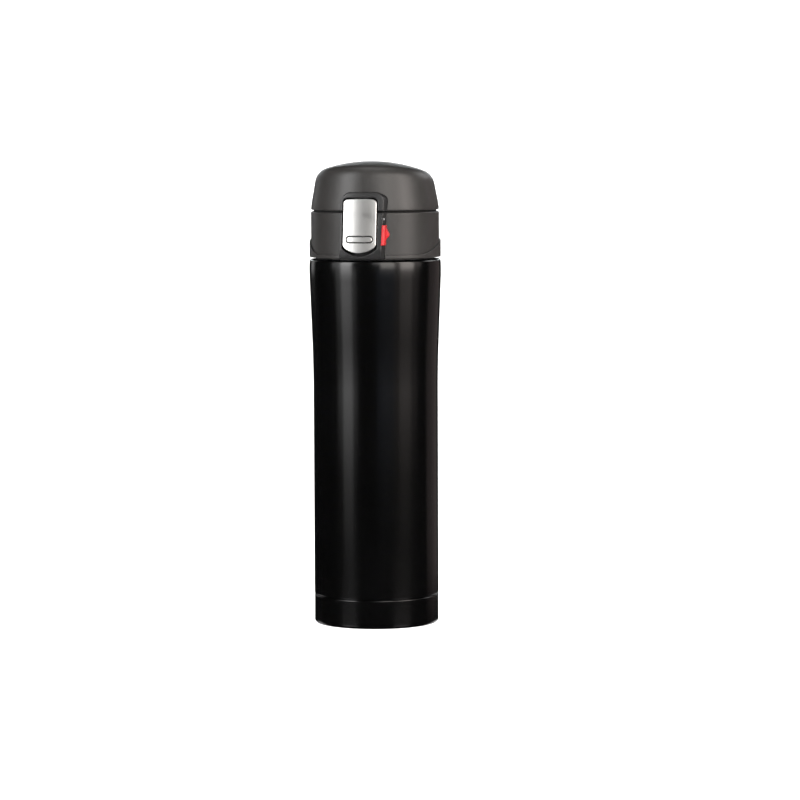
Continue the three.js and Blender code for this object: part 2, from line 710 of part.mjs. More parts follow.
function buttonPlate() {
  const corner = 2.2;
  const crown = 0.5;
  const cornerZ = PLATE_TOP_Z - crown;
  const top = pointsOf(4, (path) => {
    path.moveTo(-PLATE_HALF, cornerZ - corner);
    path.quadraticCurveTo(-PLATE_HALF, cornerZ, -PLATE_HALF + corner, cornerZ);
    path.quadraticCurveTo(0, PLATE_TOP_Z + crown, PLATE_HALF - corner, cornerZ);
    path.quadraticCurveTo(PLATE_HALF, cornerZ, PLATE_HALF, cornerZ - corner);
  });
  const outline = [...top, ...sagging(PLATE_HALF, PLATE_SIDE_Z, PLATE_BOTTOM_Z, 10)];
  return prismAlongY(outline, LATCH_REACH_Y, -31)
    .intersect(frontCurve(PLATE_FRONT_Y, PLATE_CURVATURE))
    .subtract(frontCurve(PLATE_FRONT_Y, PLATE_CURVATURE, PLATE_THICKNESS));
}

const latchPin = () => rodAlongX(PIVOT_PIN_RADIUS, [-10.2, 10.7], PIVOT_AXIS);

function latchSpring() {
  const [startY, endY] = LATCH_SPRING_Y;
  const wound = coil(1.75, endY - startY, 4, 0.2);
  wound.rotateX(Math.PI / 2);
  return solidOf(wound.translate(0, (startY + endY) / 2, LATCH_SPRING_Z));
}

const lockDot = () => rodAlongX(0.75, DOT_X, [DOT_Y, DOT_Z], 12);

function lockSlider() {
  // The bar wraps the frame's right front edge.
  const plan = [
    [11.4, -36.1],
    [12.5, -35.85],
    [13.1, -35.1],
    [13.3, -31.9],
    [12.55, -31.9],
    [12.12, -34.8],
    [11.8, -35.2],
    [11.4, -35.2],
  ];
  const bar = prismAlongZ(plan, SLIDER_BOTTOM_Z, SLIDER_TOP_Z);
  const nubOutline = [
    [12.9, 202.2],
    [14.4, 203.9],
    [15.1, 204.9],
    [15.1, 205.5],
    [14.7, 206.2],
    [12.9, 210],
  ];
  const thumbNub = prismAlongY(nubOutline, -34.9, -32.3);
  const lug = box([RECESS_HALF + GAP, 12.9], SLIDER_LUG_Y, SLIDER_LUG_Z);
  return leanSideways(leanBack(bar.add(thumbNub).add(lug)));
}

// ---- Flip cover: leaning domed shell, liner, latch frame, spout seal and screws ----
// Tips the crown towards the hinge and leaves the rim level.
function lean(position) {
  for (let i = 0; i < position.count; i++) {
    const z = position.getZ(i);
    const share = THREE.MathUtils.smoothstep(z, COVER_BOTTOM_Z + 1, 235);
    position.setZ(i, z - CROWN_LEAN * position.getY(i) * share);
  }
}

// The cover's outline from above its rim to the axis, set in by a wall.
function crownOutline(inset, divisions) {
  const side = COVER_RADIUS - inset;
  const reach = 26 - inset * 0.3;
  const radius = CROWN_RADIUS - inset;
  const centreZ = CROWN_APEX_Z - CROWN_RADIUS;
  const edgeAngle = Math.acos(reach / radius);
  const wall = pointsOf(divisions, (path) => {
    path.moveTo(side, 218.5);
    path.quadraticCurveTo(side - 0.2, 221, side - 1.3, 226.5);
    path.lineTo(side - 2.1, 231);
    path.quadraticCurveTo(side - 3, 236.6 - inset, reach, centreZ + radius * Math.sin(edgeAngle));
  });
  const cap = pointsOf(divisions, (path) => {
    path.absarc(0, centreZ, radius, edgeAngle, Math.PI / 2, false);
  });
  return [...wall.slice(0, -1), ...cap.slice(0, -1), [0, CROWN_APEX_Z - inset]];
}

const coverSolid = (bottomZ, inset, divisions, segments) =>
  revolve(
    [[0, bottomZ], [COVER_RADIUS - inset, bottomZ], ...crownOutline(inset, divisions)],
    segments,
    lean,
  );

const screwPlaces = [SCREW_X, -SCREW_X];

// The arm that drops from the cover's back wall to the hinge pin.
function coverKnuckle() {
  const arm = [
    [LIP_RADIUS + 0.3, HINGE_Z],
    [HINGE_Y + KNUCKLE_RADIUS, HINGE_Z],
    [HINGE_Y + 0.6, HINGE_Z + 5.5],
    [COVER_RADIUS - 2.5, HINGE_Z + 7.3],
  ];
  const width = [-KNUCKLE_HALF, KNUCKLE_HALF];
  const springGap = [-SPRING_GAP_HALF, SPRING_GAP_HALF];
  return prismAlongX(arm, ...width)
    .add(rodAlongX(KNUCKLE_RADIUS, width, HINGE_AXIS, 20))
    .subtract(rodAlongX(KNUCKLE_RADIUS + 0.1, springGap, HINGE_AXIS, 20));
}

function coverShell() {
  const cavity = coverSolid(COVER_BOTTOM_Z - 1, COVER_WALL, 3, INNER_ROUND);
  const lipSpace = [COVER_BOTTOM_Z - 1, LIP_TOP_Z + GAP];
  let shell = coverSolid(COVER_BOTTOM_Z, 0, 4, ROUND)
    .subtract(cavity)
    .subtract(rodAlongZ(LIP_RADIUS + GAP, lipSpace, [0, 0], ROUND));
  for (const x of screwPlaces) {
    const post = rodAlongZ(2.8, [LINER_CEILING_Z + 0.5, 236.5], [x, SCREW_Y], 12);
    const hole = rodAlongZ(1.3, [LINER_CEILING_Z, 235.4], [x, SCREW_Y], 8);
    shell = shell.add(post).subtract(hole);
  }
  return shell
    .subtract(leverWindow(COVER_BOTTOM_Z - 1, RECESS_TOP_Z + 0.2))
    .subtract(knuckleRelief(BRACKET_HALF))
    .add(coverKnuckle())
    .subtract(rodAlongX(HINGE_PIN_RADIUS + BORE_GAP, [-20, 20], HINGE_AXIS));
}

function coverLiner() {
  const rimRadius = 30.1;
  // The rim dips into the lid base's rim, so that the joint isn't open to the inside.
  const rimZ = DECK_TOP_Z + 0.8;
  const ceiling = LINER_CEILING_Z;
  const sealSeatRadius = 16.6;
  const corner = (inset) =>
    pointsOf(3, (path) => {
      path.moveTo(rimRadius - 0.7 - inset, 225.4 - inset * 0.3);
      path.quadraticCurveTo(28.9 - inset, ceiling - inset, 24.4 - inset, ceiling - inset);
    });
  const dome = revolve([
    [0, ceiling - COVER_LINER_WALL],
    ...corner(COVER_LINER_WALL).reverse(),
    [rimRadius - COVER_LINER_WALL, rimZ],
    [rimRadius, rimZ],
    ...corner(0),
    [0, ceiling],
  ]);
  const sealAxis = [0, SPOUT_Y];
  const seatZ = [SPOUT_TOP_Z + 0.6, ceiling - COVER_LINER_WALL];
  const ring = rodAlongZ(sealSeatRadius, [seatZ[0], ceiling - 0.4], sealAxis, INNER_ROUND);
  const inside = rodAlongZ(sealSeatRadius - 1.3, [seatZ[0] - 1, seatZ[1]], sealAxis, INNER_ROUND);
  const catchLip = box([-6, 6], [CATCH_FRONT_Y, -29.1], [LIP_TOP_Z + 0.35, CATCH_TOP_Z]);
  let liner = dome.add(ring.subtract(inside)).add(catchLip);
  for (const x of screwPlaces)
    liner = liner.subtract(rodAlongZ(1.4, [ceiling - 4, ceiling + 4], [x, SCREW_Y], 8));
  return liner;
}

function upperLatchFrame() {
  // An arch with round top corners, from its right foot over to its left foot.
  const arch = (left, right, topZ, corner) =>
    pointsOf(5, (path) => {
      path.moveTo(right, COVER_BOTTOM_Z);
      path.absarc(right - corner, topZ - corner, corner, 0, Math.PI / 2, false);
      path.absarc(left + corner, topZ - corner, corner, Math.PI / 2, Math.PI, false);
      path.lineTo(left, COVER_BOTTOM_Z);
    });
  const sideways = FRAME_SIDE_LEAN * (FRAME_TOP_Z - FRAME_FOOT_Z);
  const outline = [
    ...arch(FRAME_LEFT_X + sideways, FRAME_RIGHT_X + sideways, FRAME_TOP_Z, 4.8),
    ...arch(-RECESS_HALF, RECESS_HALF, RECESS_TOP_Z, 2.6).reverse(),
  ];
  return prismAlongY(outline, LATCH_REACH_Y, -28)
    .intersect(frameEnvelope())
    .subtract(coverSolid(COVER_BOTTOM_Z - 1, -GAP, 4, ROUND));
}

// A pad with a raised ring that closes the drinking slot and the vent.
function spoutSeal() {
  const rim = 15;
  const narrowing = SPOUT_HALF_Y / SPOUT_HALF_X;
  const ringZ = SPOUT_TOP_Z + 0.3;
  const topZ = LINER_CEILING_Z - COVER_LINER_WALL - 0.3;
  const pad = revolve([
    [0, ringZ + 0.8],
    [9.2, ringZ + 0.8],
    [9.7, ringZ],
    [12.4, ringZ],
    [13, ringZ + 0.8],
    [rim, ringZ + 1],
    [rim, topZ],
    [0, topZ],
  ]);
  return pad.scale([1, narrowing, 1]).translate([0, SPOUT_Y, 0]);
}

// A cross-head screw, head down, with the underside of its head at the origin.
function linerScrew() {
  const headDepth = 1.4;
  const slotHalf = 0.25;
  const slotReach = 1.3;
  const slotZ = [-headDepth - 1, -headDepth + 0.6];
  const centre = [0, 0];
  return rodAlongZ(2.3, [-headDepth, 0], centre, 12)
    .add(rodAlongZ(1.05, [-0.5, 6], centre, 8))
    .subtract(box([-slotReach, slotReach], [-slotHalf, slotHalf], slotZ))
    .subtract(box([-slotHalf, slotHalf], [-slotReach, slotReach], slotZ));
}

// ---- The assembly ----
// A group of named pieces, each a [name, solid, material] with an optional place.
function assembly(pieces) {
  const group = new THREE.Group();
  for (const [name, solid, material, place = [0, 0, 0]] of pieces) {
    const { vertProperties, triVerts } = solid.getMesh();
    const geometry = new THREE.BufferGeometry();
    geometry.setAttribute("position", new THREE.BufferAttribute(vertProperties, 3));
    geometry.setIndex(new THREE.BufferAttribute(triVerts, 1));
    geometry.computeVertexNormals();
    const mesh = new THREE.Mesh(geometry, material());
    mesh.name = name;
    mesh.position.set(...place);
    group.add(mesh);
  }
  return group;
}

const bottle = assembly([
  ["outer_shell", outerShell(), blackLacquer],
  ["inner_liner", innerLiner(), bareSteel],
  ["base_cup", baseCup(), blackLacquer],
  ["vacuum_base_disc", vacuumBaseDisc(), bareSteel],
  ["glass_seal_bead", glassSealBead(), sealGlass],
  ["getter_pellet", getterPellet(), getterAlloy],
]);

const lidBase = assembly([
  ["stopper_gasket", stopperGasket(), silicone],
  ["lid_body", lidBody(), lidPlastic],
  ["stopper_core", stopperCore(), innerPlastic],
  ["spout", spout(), innerPlastic],
  ["spout_gasket", spoutGasket(), silicone],
  ["hinge_collar", hingeCollar(), lidPlastic],
  ["hinge_pin", hingePin(), springSteel],
  ["hinge_spring", hingeSpring(), springSteel],
]);

const latch = assembly([
  ["lower_latch_frame", lowerLatchFrame(), framePlastic],
  ["latch_lever", latchLever(), innerPlastic],
  ["button_plate", buttonPlate(), buttonMetal],
  ["latch_pin", latchPin(), springSteel],
  ["latch_spring", latchSpring(), springSteel],
  ["lock_slider", lockSlider(), redPlastic],
  ["lock_dot", lockDot(), whiteMark],
]);

const screwZ = LINER_CEILING_Z - COVER_LINER_WALL - 0.2;
const cover = assembly([
  ["cover_shell", coverShell(), lidPlastic],
  ["cover_liner", coverLiner(), innerPlastic],
  ["upper_latch_frame", upperLatchFrame(), framePlastic],
  ["spout_seal", spoutSeal(), silicone],
  ["liner_screw_right", linerScrew(), springSteel, [SCREW_X, SCREW_Y, screwZ]],
  ["liner_screw_left", linerScrew(), springSteel, [-SCREW_X, SCREW_Y, screwZ]],
]);

const flask = new THREE.Group();
flask.add(bottle, lidBase, latch, cover);
export default flask;
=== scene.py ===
import json
import math

import bmesh
import bpy
from mathutils import Matrix, Vector


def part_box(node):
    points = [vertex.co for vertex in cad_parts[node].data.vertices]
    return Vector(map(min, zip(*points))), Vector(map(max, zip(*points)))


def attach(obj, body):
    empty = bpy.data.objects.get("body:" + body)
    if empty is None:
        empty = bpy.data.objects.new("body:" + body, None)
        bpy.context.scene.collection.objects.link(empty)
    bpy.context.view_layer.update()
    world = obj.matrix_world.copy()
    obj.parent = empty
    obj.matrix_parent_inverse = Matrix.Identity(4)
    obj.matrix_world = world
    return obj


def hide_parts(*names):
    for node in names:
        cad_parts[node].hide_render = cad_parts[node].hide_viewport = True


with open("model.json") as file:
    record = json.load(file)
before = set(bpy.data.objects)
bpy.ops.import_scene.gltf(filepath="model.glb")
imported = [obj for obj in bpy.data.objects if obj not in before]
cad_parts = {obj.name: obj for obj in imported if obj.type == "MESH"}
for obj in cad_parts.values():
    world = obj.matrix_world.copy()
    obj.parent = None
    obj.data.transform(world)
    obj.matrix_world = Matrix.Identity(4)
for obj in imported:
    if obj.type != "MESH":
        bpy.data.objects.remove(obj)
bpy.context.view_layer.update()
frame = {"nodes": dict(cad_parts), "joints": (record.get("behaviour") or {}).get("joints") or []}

# ---------------------------------------------------------------- sizes, in millimetres
# The first come from the CAD nodes and joints; the rest are the pieces' own details.
MM = 0.001
SHARP_ANGLE = math.radians(38)  # edges that turn by more stay sharp


def node_box(name):
    low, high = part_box(name)
    return low / MM, high / MM


def joint_place(name):
    """Where a joint's axis is along Y and Z."""
    place = next(j for j in frame["joints"] if j["name"] == name)["pos_m"]
    return place[1] / MM, place[2] / MM


shell_low, shell_high = node_box("outer_shell")
cup_high = node_box("base_cup")[1]
lid_low, lid_high = node_box("lid_body")
band_high = node_box("hinge_collar")[1]
cover_high = node_box("cover_shell")[1]
upper_low, upper_high = node_box("upper_latch_frame")
lower_low, lower_high = node_box("lower_latch_frame")
plate_low, plate_high = node_box("button_plate")
lever_high = node_box("latch_lever")[1]
spring_low, spring_high = node_box("latch_spring")
spring_middle = (spring_low + spring_high) / 2
slider_low, slider_high = node_box("lock_slider")
dot_low, dot_high = node_box("lock_dot")
liner_low, liner_high = node_box("inner_liner")
roof_low, roof_high = node_box("cover_liner")
spout_low, spout_high = node_box("spout")
seal_low, seal_high = node_box("spout_seal")
HINGE_Y, HINGE_Z = joint_place("cover_open")
PIVOT_Y, PIVOT_Z = joint_place("button_press")

STEEL = 0.6
GAP = 0.25
BODY_RADIUS = 32.75
FLARE_START_Z = 124
FLARE_STEADY = 33.27, 150  # radius and height from which the body widens evenly
FLARE_END = 34.4, 180  # radius and height at which it starts to curve in again
SHOULDER_RADIUS = 34.42
SHOULDER_ROUNDING = 1.25
SHOULDER_Z = shell_high.z
SHOULDER_HOLE = 28.9
CUP_RADIUS, CUP_TOP_Z = cup_high.x, cup_high.z
SHELL_FOOT_RADIUS = 31.5
LINER_RADIUS = liner_high.x
NECK_RADIUS = 27.5
NECK_TOP_Z = liner_high.z
LID_RADIUS, LID_BOTTOM_Z, LID_TOP_Z = lid_high.x, lid_low.z, 216.7
LID_WALL = 2.2
LIP_RADIUS, LIP_TOP_Z = 32.2, lid_high.z
DECK_Z = 214.6
COVER_BOTTOM_Z = upper_low.z
COVER_RADIUS = 33.5
COVER_WALL = 2.1
COVER_STRAIGHT_Z = 218.5  # the cover's wall curves in from here
POST_X = 10  # the two screw posts are this far left and right
TOTAL_HEIGHT = cover_high.z
CROWN_RADIUS = 78
CROWN_LEAN = 0.112
CROWN_APEX_Z = TOTAL_HEIGHT - CROWN_LEAN**2 * CROWN_RADIUS / 2
BAND_RADIUS = band_high.x
BAND_HEIGHTS = 1.9, 9.3
BAND_RISE_LEFT = math.radians(46), math.radians(86)  # angles from the front
BAND_RISE_RIGHT = math.radians(53), math.radians(110)
KNUCKLE_RADIUS = band_high.y - HINGE_Y
KNUCKLE_HALF = 7.3
BRACKET_HALF = 13
PIN_RADIUS = 1.2
FRAME_LEFT_X, FRAME_RIGHT_X = -11.2, 11.6  # at FRAME_FOOT_Z
FRAME_FOOT_Z = 195
FRAME_SIDE_LEAN = 0.03  # how far the flanks lean right per millimetre of height
FRAME_TOP_Z = upper_high.z
LATCH_MIDDLE_Z = 210
LATCH_LEAN = 0.119  # how far the latch leans back per millimetre of height
LATCH_REACH_Y = -41  # in front of every piece of the latch
FRAME_FRONT_Y = -35.95  # at LATCH_MIDDLE_Z
FRAME_CURVATURE = 60
FRAME_DRAFT = 0.2
BEVEL_TOP_Z, BEVEL_DEPTH = 198, 2.3  # the frame's foot falls back from here, by this much
RECESS_HALF = 9.3
RECESS_TOP_Z = 224.4
RECESS_SIDE_Z, RECESS_BOTTOM_Z = 198.6, 194.3
PLATE_HALF = plate_high.x
PLATE_FRONT_Y = -36.55  # at LATCH_MIDDLE_Z
PLATE_CURVATURE = 45
PLATE_THICKNESS = 0.8
SPOUT_Y = (seal_low.y + seal_high.y) / 2
ROOF_Z = roof_high.z
ROOF_WALL = 1.4
ROOF_FLAT = 24.4  # radius of the inner roof's flat middle


# ---------------------------------------------------------------- mesh tools
def smoothstep(value, low, high):
    share = min(1, max(0, (value - low) / (high - low)))
    return share * share * (3 - 2 * share)


def arc(centre, radius, start, end, steps=8):
    """Points of a circular arc, angles in degrees."""
    points = []
    for i in range(steps + 1):
        angle = math.radians(start + (end - start) * i / steps)
        points.append((centre[0] + radius * math.cos(angle), centre[1] + radius * math.sin(angle)))
    return points


def circle(centre, radius, steps):
    return arc(centre, radius, 0, 360, steps)[:-1]


def bezier(a, b, c, steps=12):
    """Points of a quadratic curve from a to c, without c."""
    points = []
    for i in range(steps):
        t = i / steps
        weights = (1 - t) ** 2, 2 * t * (1 - t), t * t
        points.append(tuple(sum(w * p[k] for w, p in zip(weights, (a, b, c))) for k in (0, 1)))
    return points


def rounded(corners, closed=True, steps=4):
    """An outline whose corners (x, y, radius) are arcs; a corner without a radius stays sharp."""
    points = []
    count = len(corners)
    for i, corner in enumerate(corners):
        here = Vector(corner[:2])
        radius = corner[2] if len(corner) > 2 else 0
        if radius == 0 or (not closed and i in (0, count - 1)):
            points.append(tuple(here))
            continue
        to_last = Vector(corners[i - 1][:2]) - here
        to_next = Vector(corners[(i + 1) % count][:2]) - here
        half = to_last.angle(to_next) / 2
        reach = min(radius / math.tan(half), to_last.length * 0.49, to_next.length * 0.49)
        start = here + to_last.normalized() * reach
        end = here + to_next.normalized() * reach
        for k in range(steps + 1):
            t = k / steps
            blend = (1 - t) ** 2 * start + 2 * t * (1 - t) * here + t * t * end
            points.append(tuple(blend))
    return points


def bridge(bm, first, second):
    """Faces between two closed rings; a corner that they share is taken once."""
    for i in range(len(first)):
        j = (i + 1) % len(first)
        bm.faces.new(list(dict.fromkeys((first[i], first[j], second[j], second[i]))))


def lathe(profile, segments=160, reshape=None):
    """A bmesh of (radius, z) points turned about Z. It ends on the axis or closes on itself."""
    bm = bmesh.new()
    rings = []
    for radius, z in profile:
        if radius < 1e-6:
            rings.append([bm.verts.new((0, 0, z))] * segments)
            continue
        angles = [2 * math.pi * i / segments for i in range(segments)]
        rings.append([bm.verts.new((radius * math.sin(a), -radius * math.cos(a), z)) for a in angles])
    pairs = list(zip(rings, rings[1:]))
    if profile[0][0] > 1e-6:
        pairs.append((rings[-1], rings[0]))
    for lower, upper in pairs:
        bridge(bm, lower, upper)
    if reshape:
        for vert in bm.verts:
            vert.co = reshape(*vert.co)
    return bm


def offset_ring(ring, distance):
    """A closed outline moved inwards by a distance; the outline runs anticlockwise."""
    moved = []
    for i, point in enumerate(ring):
        here = Vector(point)
        before = (here - Vector(ring[i - 1])).normalized()
        after = (Vector(ring[(i + 1) % len(ring)]) - here).normalized()
        normal = Vector((-before.y - after.y, before.x + after.x))
        stretch = max(0.3, normal.length / 2)
        moved.append(tuple(here + normal.normalized() * distance / stretch))
    return moved


def without_repeats(ring):
    return [p for i, p in enumerate(ring) if (Vector(p) - Vector(ring[i - 1])).length > 1e-4]


def slab(outline, near, far, near_edge=0.3, far_edge=0.0, steps=4):
    """A bmesh of an outline (u, v) between two depths, as (u, depth, v), with rounded rims."""
    ring = without_repeats(outline)
    area = sum(a[0] * b[1] - b[0] * a[1] for a, b in zip(ring, ring[1:] + ring[:1]))
    if area < 0:
        ring.reverse()
    levels = []
    for k in range(steps + 1):
        angle = math.pi / 2 * k / steps
        levels.append((near_edge * (1 - math.sin(angle)), near + near_edge * (1 - math.cos(angle))))
    if far_edge:
        for k in range(steps + 1):
            angle = math.pi / 2 * (1 - k / steps)
            inset = far_edge * (1 - math.sin(angle))
            levels.append((inset, far - far_edge * (1 - math.cos(angle))))
    else:
        levels.append((0, far))
    bm = bmesh.new()
    loops = []
    for inset, depth in levels:
        loops.append([bm.verts.new((u, depth, v)) for u, v in offset_ring(ring, inset)])
    for first, second in zip(loops, loops[1:]):
        bridge(bm, first, second)
    bm.faces.new(loops[0])
    bm.faces.new(reversed(loops[-1]))
    return bm


def strips(bm, low, high, pitch, normal=(1, 0, 0)):
    """Cuts a bmesh into strips across a direction, so that it can be bent."""
    for i in range(1, int((high - low) / pitch) + 1):
        place = Vector(normal) * (low + i * pitch)
        geometry = bm.verts[:] + bm.edges[:] + bm.faces[:]
        bmesh.ops.bisect_plane(bm, geom=geometry, plane_co=place, plane_no=normal)
    return bm


def moved(bm, place):
    for vert in bm.verts:
        vert.co = place(*vert.co)
    return bm


def along_x(depth_outline_bm):
    """Turns a slab made as (y, x, z) so that its depth runs along X."""
    return moved(depth_outline_bm, lambda u, depth, v: (depth, u, v))


def along_z(depth_outline_bm):
    """Turns a slab made as (x, z, y) so that its depth runs along Z."""
    return moved(depth_outline_bm, lambda u, depth, v: (u, v, depth))


def tube(points, radius):
    """A bmesh tube along a list of points."""
    sides = 10
    bm = bmesh.new()
    rings = []
    guide = Vector((0, 0, 1))
    for i, point in enumerate(points):
        here = Vector(point)
        ahead = Vector(points[min(i + 1, len(points) - 1)])
        behind = Vector(points[max(i - 1, 0)])
        tangent = (ahead - behind).normalized()
        side = tangent.cross(guide).normalized()
        guide = side.cross(tangent)
        ring = []
        for k in range(sides):
            angle = 2 * math.pi * k / sides
            ring.append(bm.verts.new(here + radius * (math.cos(angle) * side + math.sin(angle) * guide)))
        rings.append(ring)
    for first, second in zip(rings, rings[1:]):
        bridge(bm, first, second)
    bm.faces.new(reversed(rings[0]))
    bm.faces.new(rings[-1])
    return bm


def merge(*parts):
    """One bmesh of several closed ones."""
    whole = parts[0]
    for part in parts[1:]:
        mesh = to_mesh("part", part)
        whole.from_mesh(mesh)
        bpy.data.meshes.remove(mesh)
    return whole


def to_mesh(name, bm):
    mesh = bpy.data.meshes.new(name)
    bm.to_mesh(mesh)
    bm.free()
    return mesh


def add_object(name, data):
    obj = bpy.data.objects.new(name, data)
    bpy.context.scene.collection.objects.link(obj)
    return obj


def to_object(name, bm):
    bmesh.ops.remove_doubles(bm, verts=bm.verts, dist=1e-5)
    bmesh.ops.recalc_face_normals(bm, faces=bm.faces)
    return add_object(name, to_mesh(name, bm))


def combine(name, base, operation, *tools):
    """Cuts or joins a bmesh with others and returns the result as a bmesh."""
    target = to_object(name, base)
    for tool in tools:
        other = to_object(name + "_tool", tool)
        modifier = target.modifiers.new("combine", "BOOLEAN")
        modifier.operation = operation
        modifier.solver = "EXACT"
        modifier.object = other
        bpy.context.view_layer.update()
        shape = target.evaluated_get(bpy.context.evaluated_depsgraph_get())
        result = bpy.data.meshes.new_from_object(shape)
        target.modifiers.clear()
        old = target.data
        target.data = result
        bpy.data.meshes.remove(old)
        bpy.data.objects.remove(other)
    bm = bmesh.new()
    bm.from_mesh(target.data)
    bpy.data.objects.remove(target)
    return bm


def piece(name, bm, body, slot, nodes):
    """A finished piece in metres that rides on a body and stands for CAD nodes."""
    for vert in bm.verts:
        vert.co *= MM
    bmesh.ops.remove_doubles(bm, verts=bm.verts, dist=1e-8)
    bmesh.ops.recalc_face_normals(bm, faces=bm.faces)
    for face in bm.faces:
        face.smooth = True
    mesh = to_mesh(name, bm)
    mesh.set_sharp_from_angle(angle=SHARP_ANGLE)
    obj = add_object(name, mesh)
    mesh.materials.append(SLOT_MATERIAL[slot])
    weighted = obj.modifiers.new("weighted_normals", "WEIGHTED_NORMAL")
    weighted.keep_sharp = True
    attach(obj, body)
    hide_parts(*nodes)
    return obj


def paint_shade_faces(obj, material, belongs):
    """Gives the faces whose centre (in millimetres) belongs a second material, which paints shade on them."""
    obj.data.materials.append(material)
    for polygon in obj.data.polygons:
        if belongs(polygon.center / MM):
            polygon.material_index = 1


# ---------------------------------------------------------------- materials
class Nodes:
    """Builds one material's node tree, in object coordinates (metres)."""

    def __init__(self, name):
        self.material = bpy.data.materials.new(name)
        self.material.use_nodes = True
        self.tree = self.material.node_tree
        self.shader = self.tree.nodes["Principled BSDF"]
        self.place = self.new("ShaderNodeTexCoord").outputs["Object"]

    def feed(self, node, values):
        """Sets a node's inputs, by name, to plain values or to other nodes' outputs."""
        for key, value in values.items():
            socket = node.inputs[key.replace("_", " ")]
            if isinstance(value, bpy.types.NodeSocket):
                self.tree.links.new(value, socket)
            else:
                socket.default_value = value

    def new(self, kind, **values):
        node = self.tree.nodes.new(kind)
        self.feed(node, values)
        return node

    def set(self, **values):
        self.feed(self.shader, values)

    def noise(self, scale, detail=3.0, roughness=0.5, stretch=(1, 1, 1)):
        place = self.new("ShaderNodeMapping", Vector=self.place, Scale=stretch).outputs["Vector"]
        node = self.new("ShaderNodeTexNoise", Vector=place, Scale=scale, Detail=detail, Roughness=roughness)
        return node.outputs["Fac"]

    def ramp(self, value, low, high, spread=0.2):
        """A colour that runs from low to high while a value passes its middle."""
        node = self.new("ShaderNodeValToRGB", Fac=value)
        stops = (0.5 - spread, low), (0.5 + spread, high)
        for element, (at, colour) in zip(node.color_ramp.elements, stops):
            element.position = at
            element.color = (*colour, 1)
        return node.outputs["Color"]

    def range(self, value, low, high):
        """A number that runs from low to high while a value passes its middle."""
        ends = {"From_Min": 0.3, "From_Max": 0.7, "To_Min": low, "To_Max": high}
        return self.new("ShaderNodeMapRange", Value=value, **ends).outputs["Result"]

    def math(self, operation, a, b):
        node = self.new("ShaderNodeMath")
        node.operation = operation
        for socket, value in zip(node.inputs, (a, b)):
            if isinstance(value, (int, float)):
                socket.default_value = value
            else:
                self.tree.links.new(value, socket)
        return node.outputs["Value"]

    def bump(self, height, distance, strength=1.0, after=None):
        node = self.new("ShaderNodeBump", Height=height, Distance=distance, Strength=strength)
        if after is not None:
            self.feed(node, {"Normal": after})
        return node.outputs["Normal"]

    def surface(self, colour, roughness, normal):
        self.set(Base_Color=colour, Roughness=roughness, Normal=normal)


def grey(level):
    return (level, level, level)


def lacquer():
    n = Nodes("black_lacquer")
    cloud = n.noise(18, 4)
    colour = n.ramp(cloud, (0.0006, 0.0006, 0.0007), (0.001, 0.001, 0.0011))
    wiped = n.noise(60, 5, 0.6, (1, 1, 0.12))
    mixed = n.math("ADD", n.math("MULTIPLY", wiped, 0.6), n.math("MULTIPLY", cloud, 0.4))
    roughness = n.range(mixed, 0.14, 0.19)
    peel = n.bump(n.noise(1400, 2), 0.00002, 0.25)
    n.surface(colour, roughness, n.bump(n.noise(240, 2), 0.00003, 0.12, peel))
    n.set(Specular_IOR_Level=0.5)
    return n.material


def moulded(name, dark, light, rough, grain=0.00004):
    """Moulded plastic with a fine spark-eroded grain and slight flow marks."""
    n = Nodes(name)
    cloud = n.noise(30, 4)
    speck = n.noise(2600, 2)
    tone = n.math("ADD", n.math("MULTIPLY", cloud, 0.65), n.math("MULTIPLY", speck, 0.35))
    colour = n.ramp(tone, dark, light, 0.15)
    roughness = n.range(n.noise(90, 4, 0.6, (1, 1, 0.3)), rough - 0.04, rough + 0.05)
    coarse = n.bump(n.noise(2200, 3, 0.6), grain, 0.35)
    n.surface(colour, roughness, n.bump(n.noise(5200, 1), grain / 2, 0.3, coarse))
    return n.material


def brushed(name, base, rough, stretch, anisotropy=0.4, contrast=(0.86, 1.05), relief=0.3, spread=0.06):
    """Metal with fine drawn lines along the direction that is stretched."""
    n = Nodes(name)
    lines = n.noise(3200, 3, 0.6, stretch)
    broad = n.noise(240, 3, 0.5, stretch)
    tone = n.math("ADD", n.math("MULTIPLY", lines, 0.6), n.math("MULTIPLY", broad, 0.4))
    low, high = [tuple(c * k for c in base) for k in contrast]
    colour = n.ramp(tone, low, high)
    n.surface(colour, n.range(tone, rough - spread, rough + spread), n.bump(lines, 0.00001, relief))
    n.set(Metallic=1.0, Anisotropic=anisotropy)
    return n.material


def red_plastic():
    n = Nodes("red_plastic")
    cloud = n.noise(160, 3)
    colour = n.ramp(cloud, (0.29, 0.004, 0.006), (0.37, 0.006, 0.009))
    n.surface(colour, n.range(n.noise(500, 3), 0.26, 0.36), n.bump(n.noise(2400, 2), 0.00002, 0.3))
    n.set(Subsurface_Weight=0.08, Subsurface_Radius=(0.002, 0.0006, 0.0004), Coat_Weight=0.1)
    return n.material


def silicone():
    n = Nodes("silicone")
    colour = n.ramp(n.noise(120, 3), (0.66, 0.66, 0.63), (0.76, 0.76, 0.73))
    n.surface(colour, n.range(n.noise(300, 3), 0.45, 0.6), n.bump(n.noise(1600, 2), 0.00002, 0.3))
    n.set(Subsurface_Weight=0.3, Subsurface_Radius=(0.002, 0.002, 0.0016))
    return n.material


def plain_grained(name, low, high, rough, metallic=0.0):
    n = Nodes(name)
    tone = n.noise(900, 4)
    colour = n.ramp(tone, low, high)
    n.surface(colour, n.range(tone, rough - 0.06, rough + 0.06), n.bump(tone, 0.00003, 0.4))
    n.set(Metallic=metallic)
    return n.material


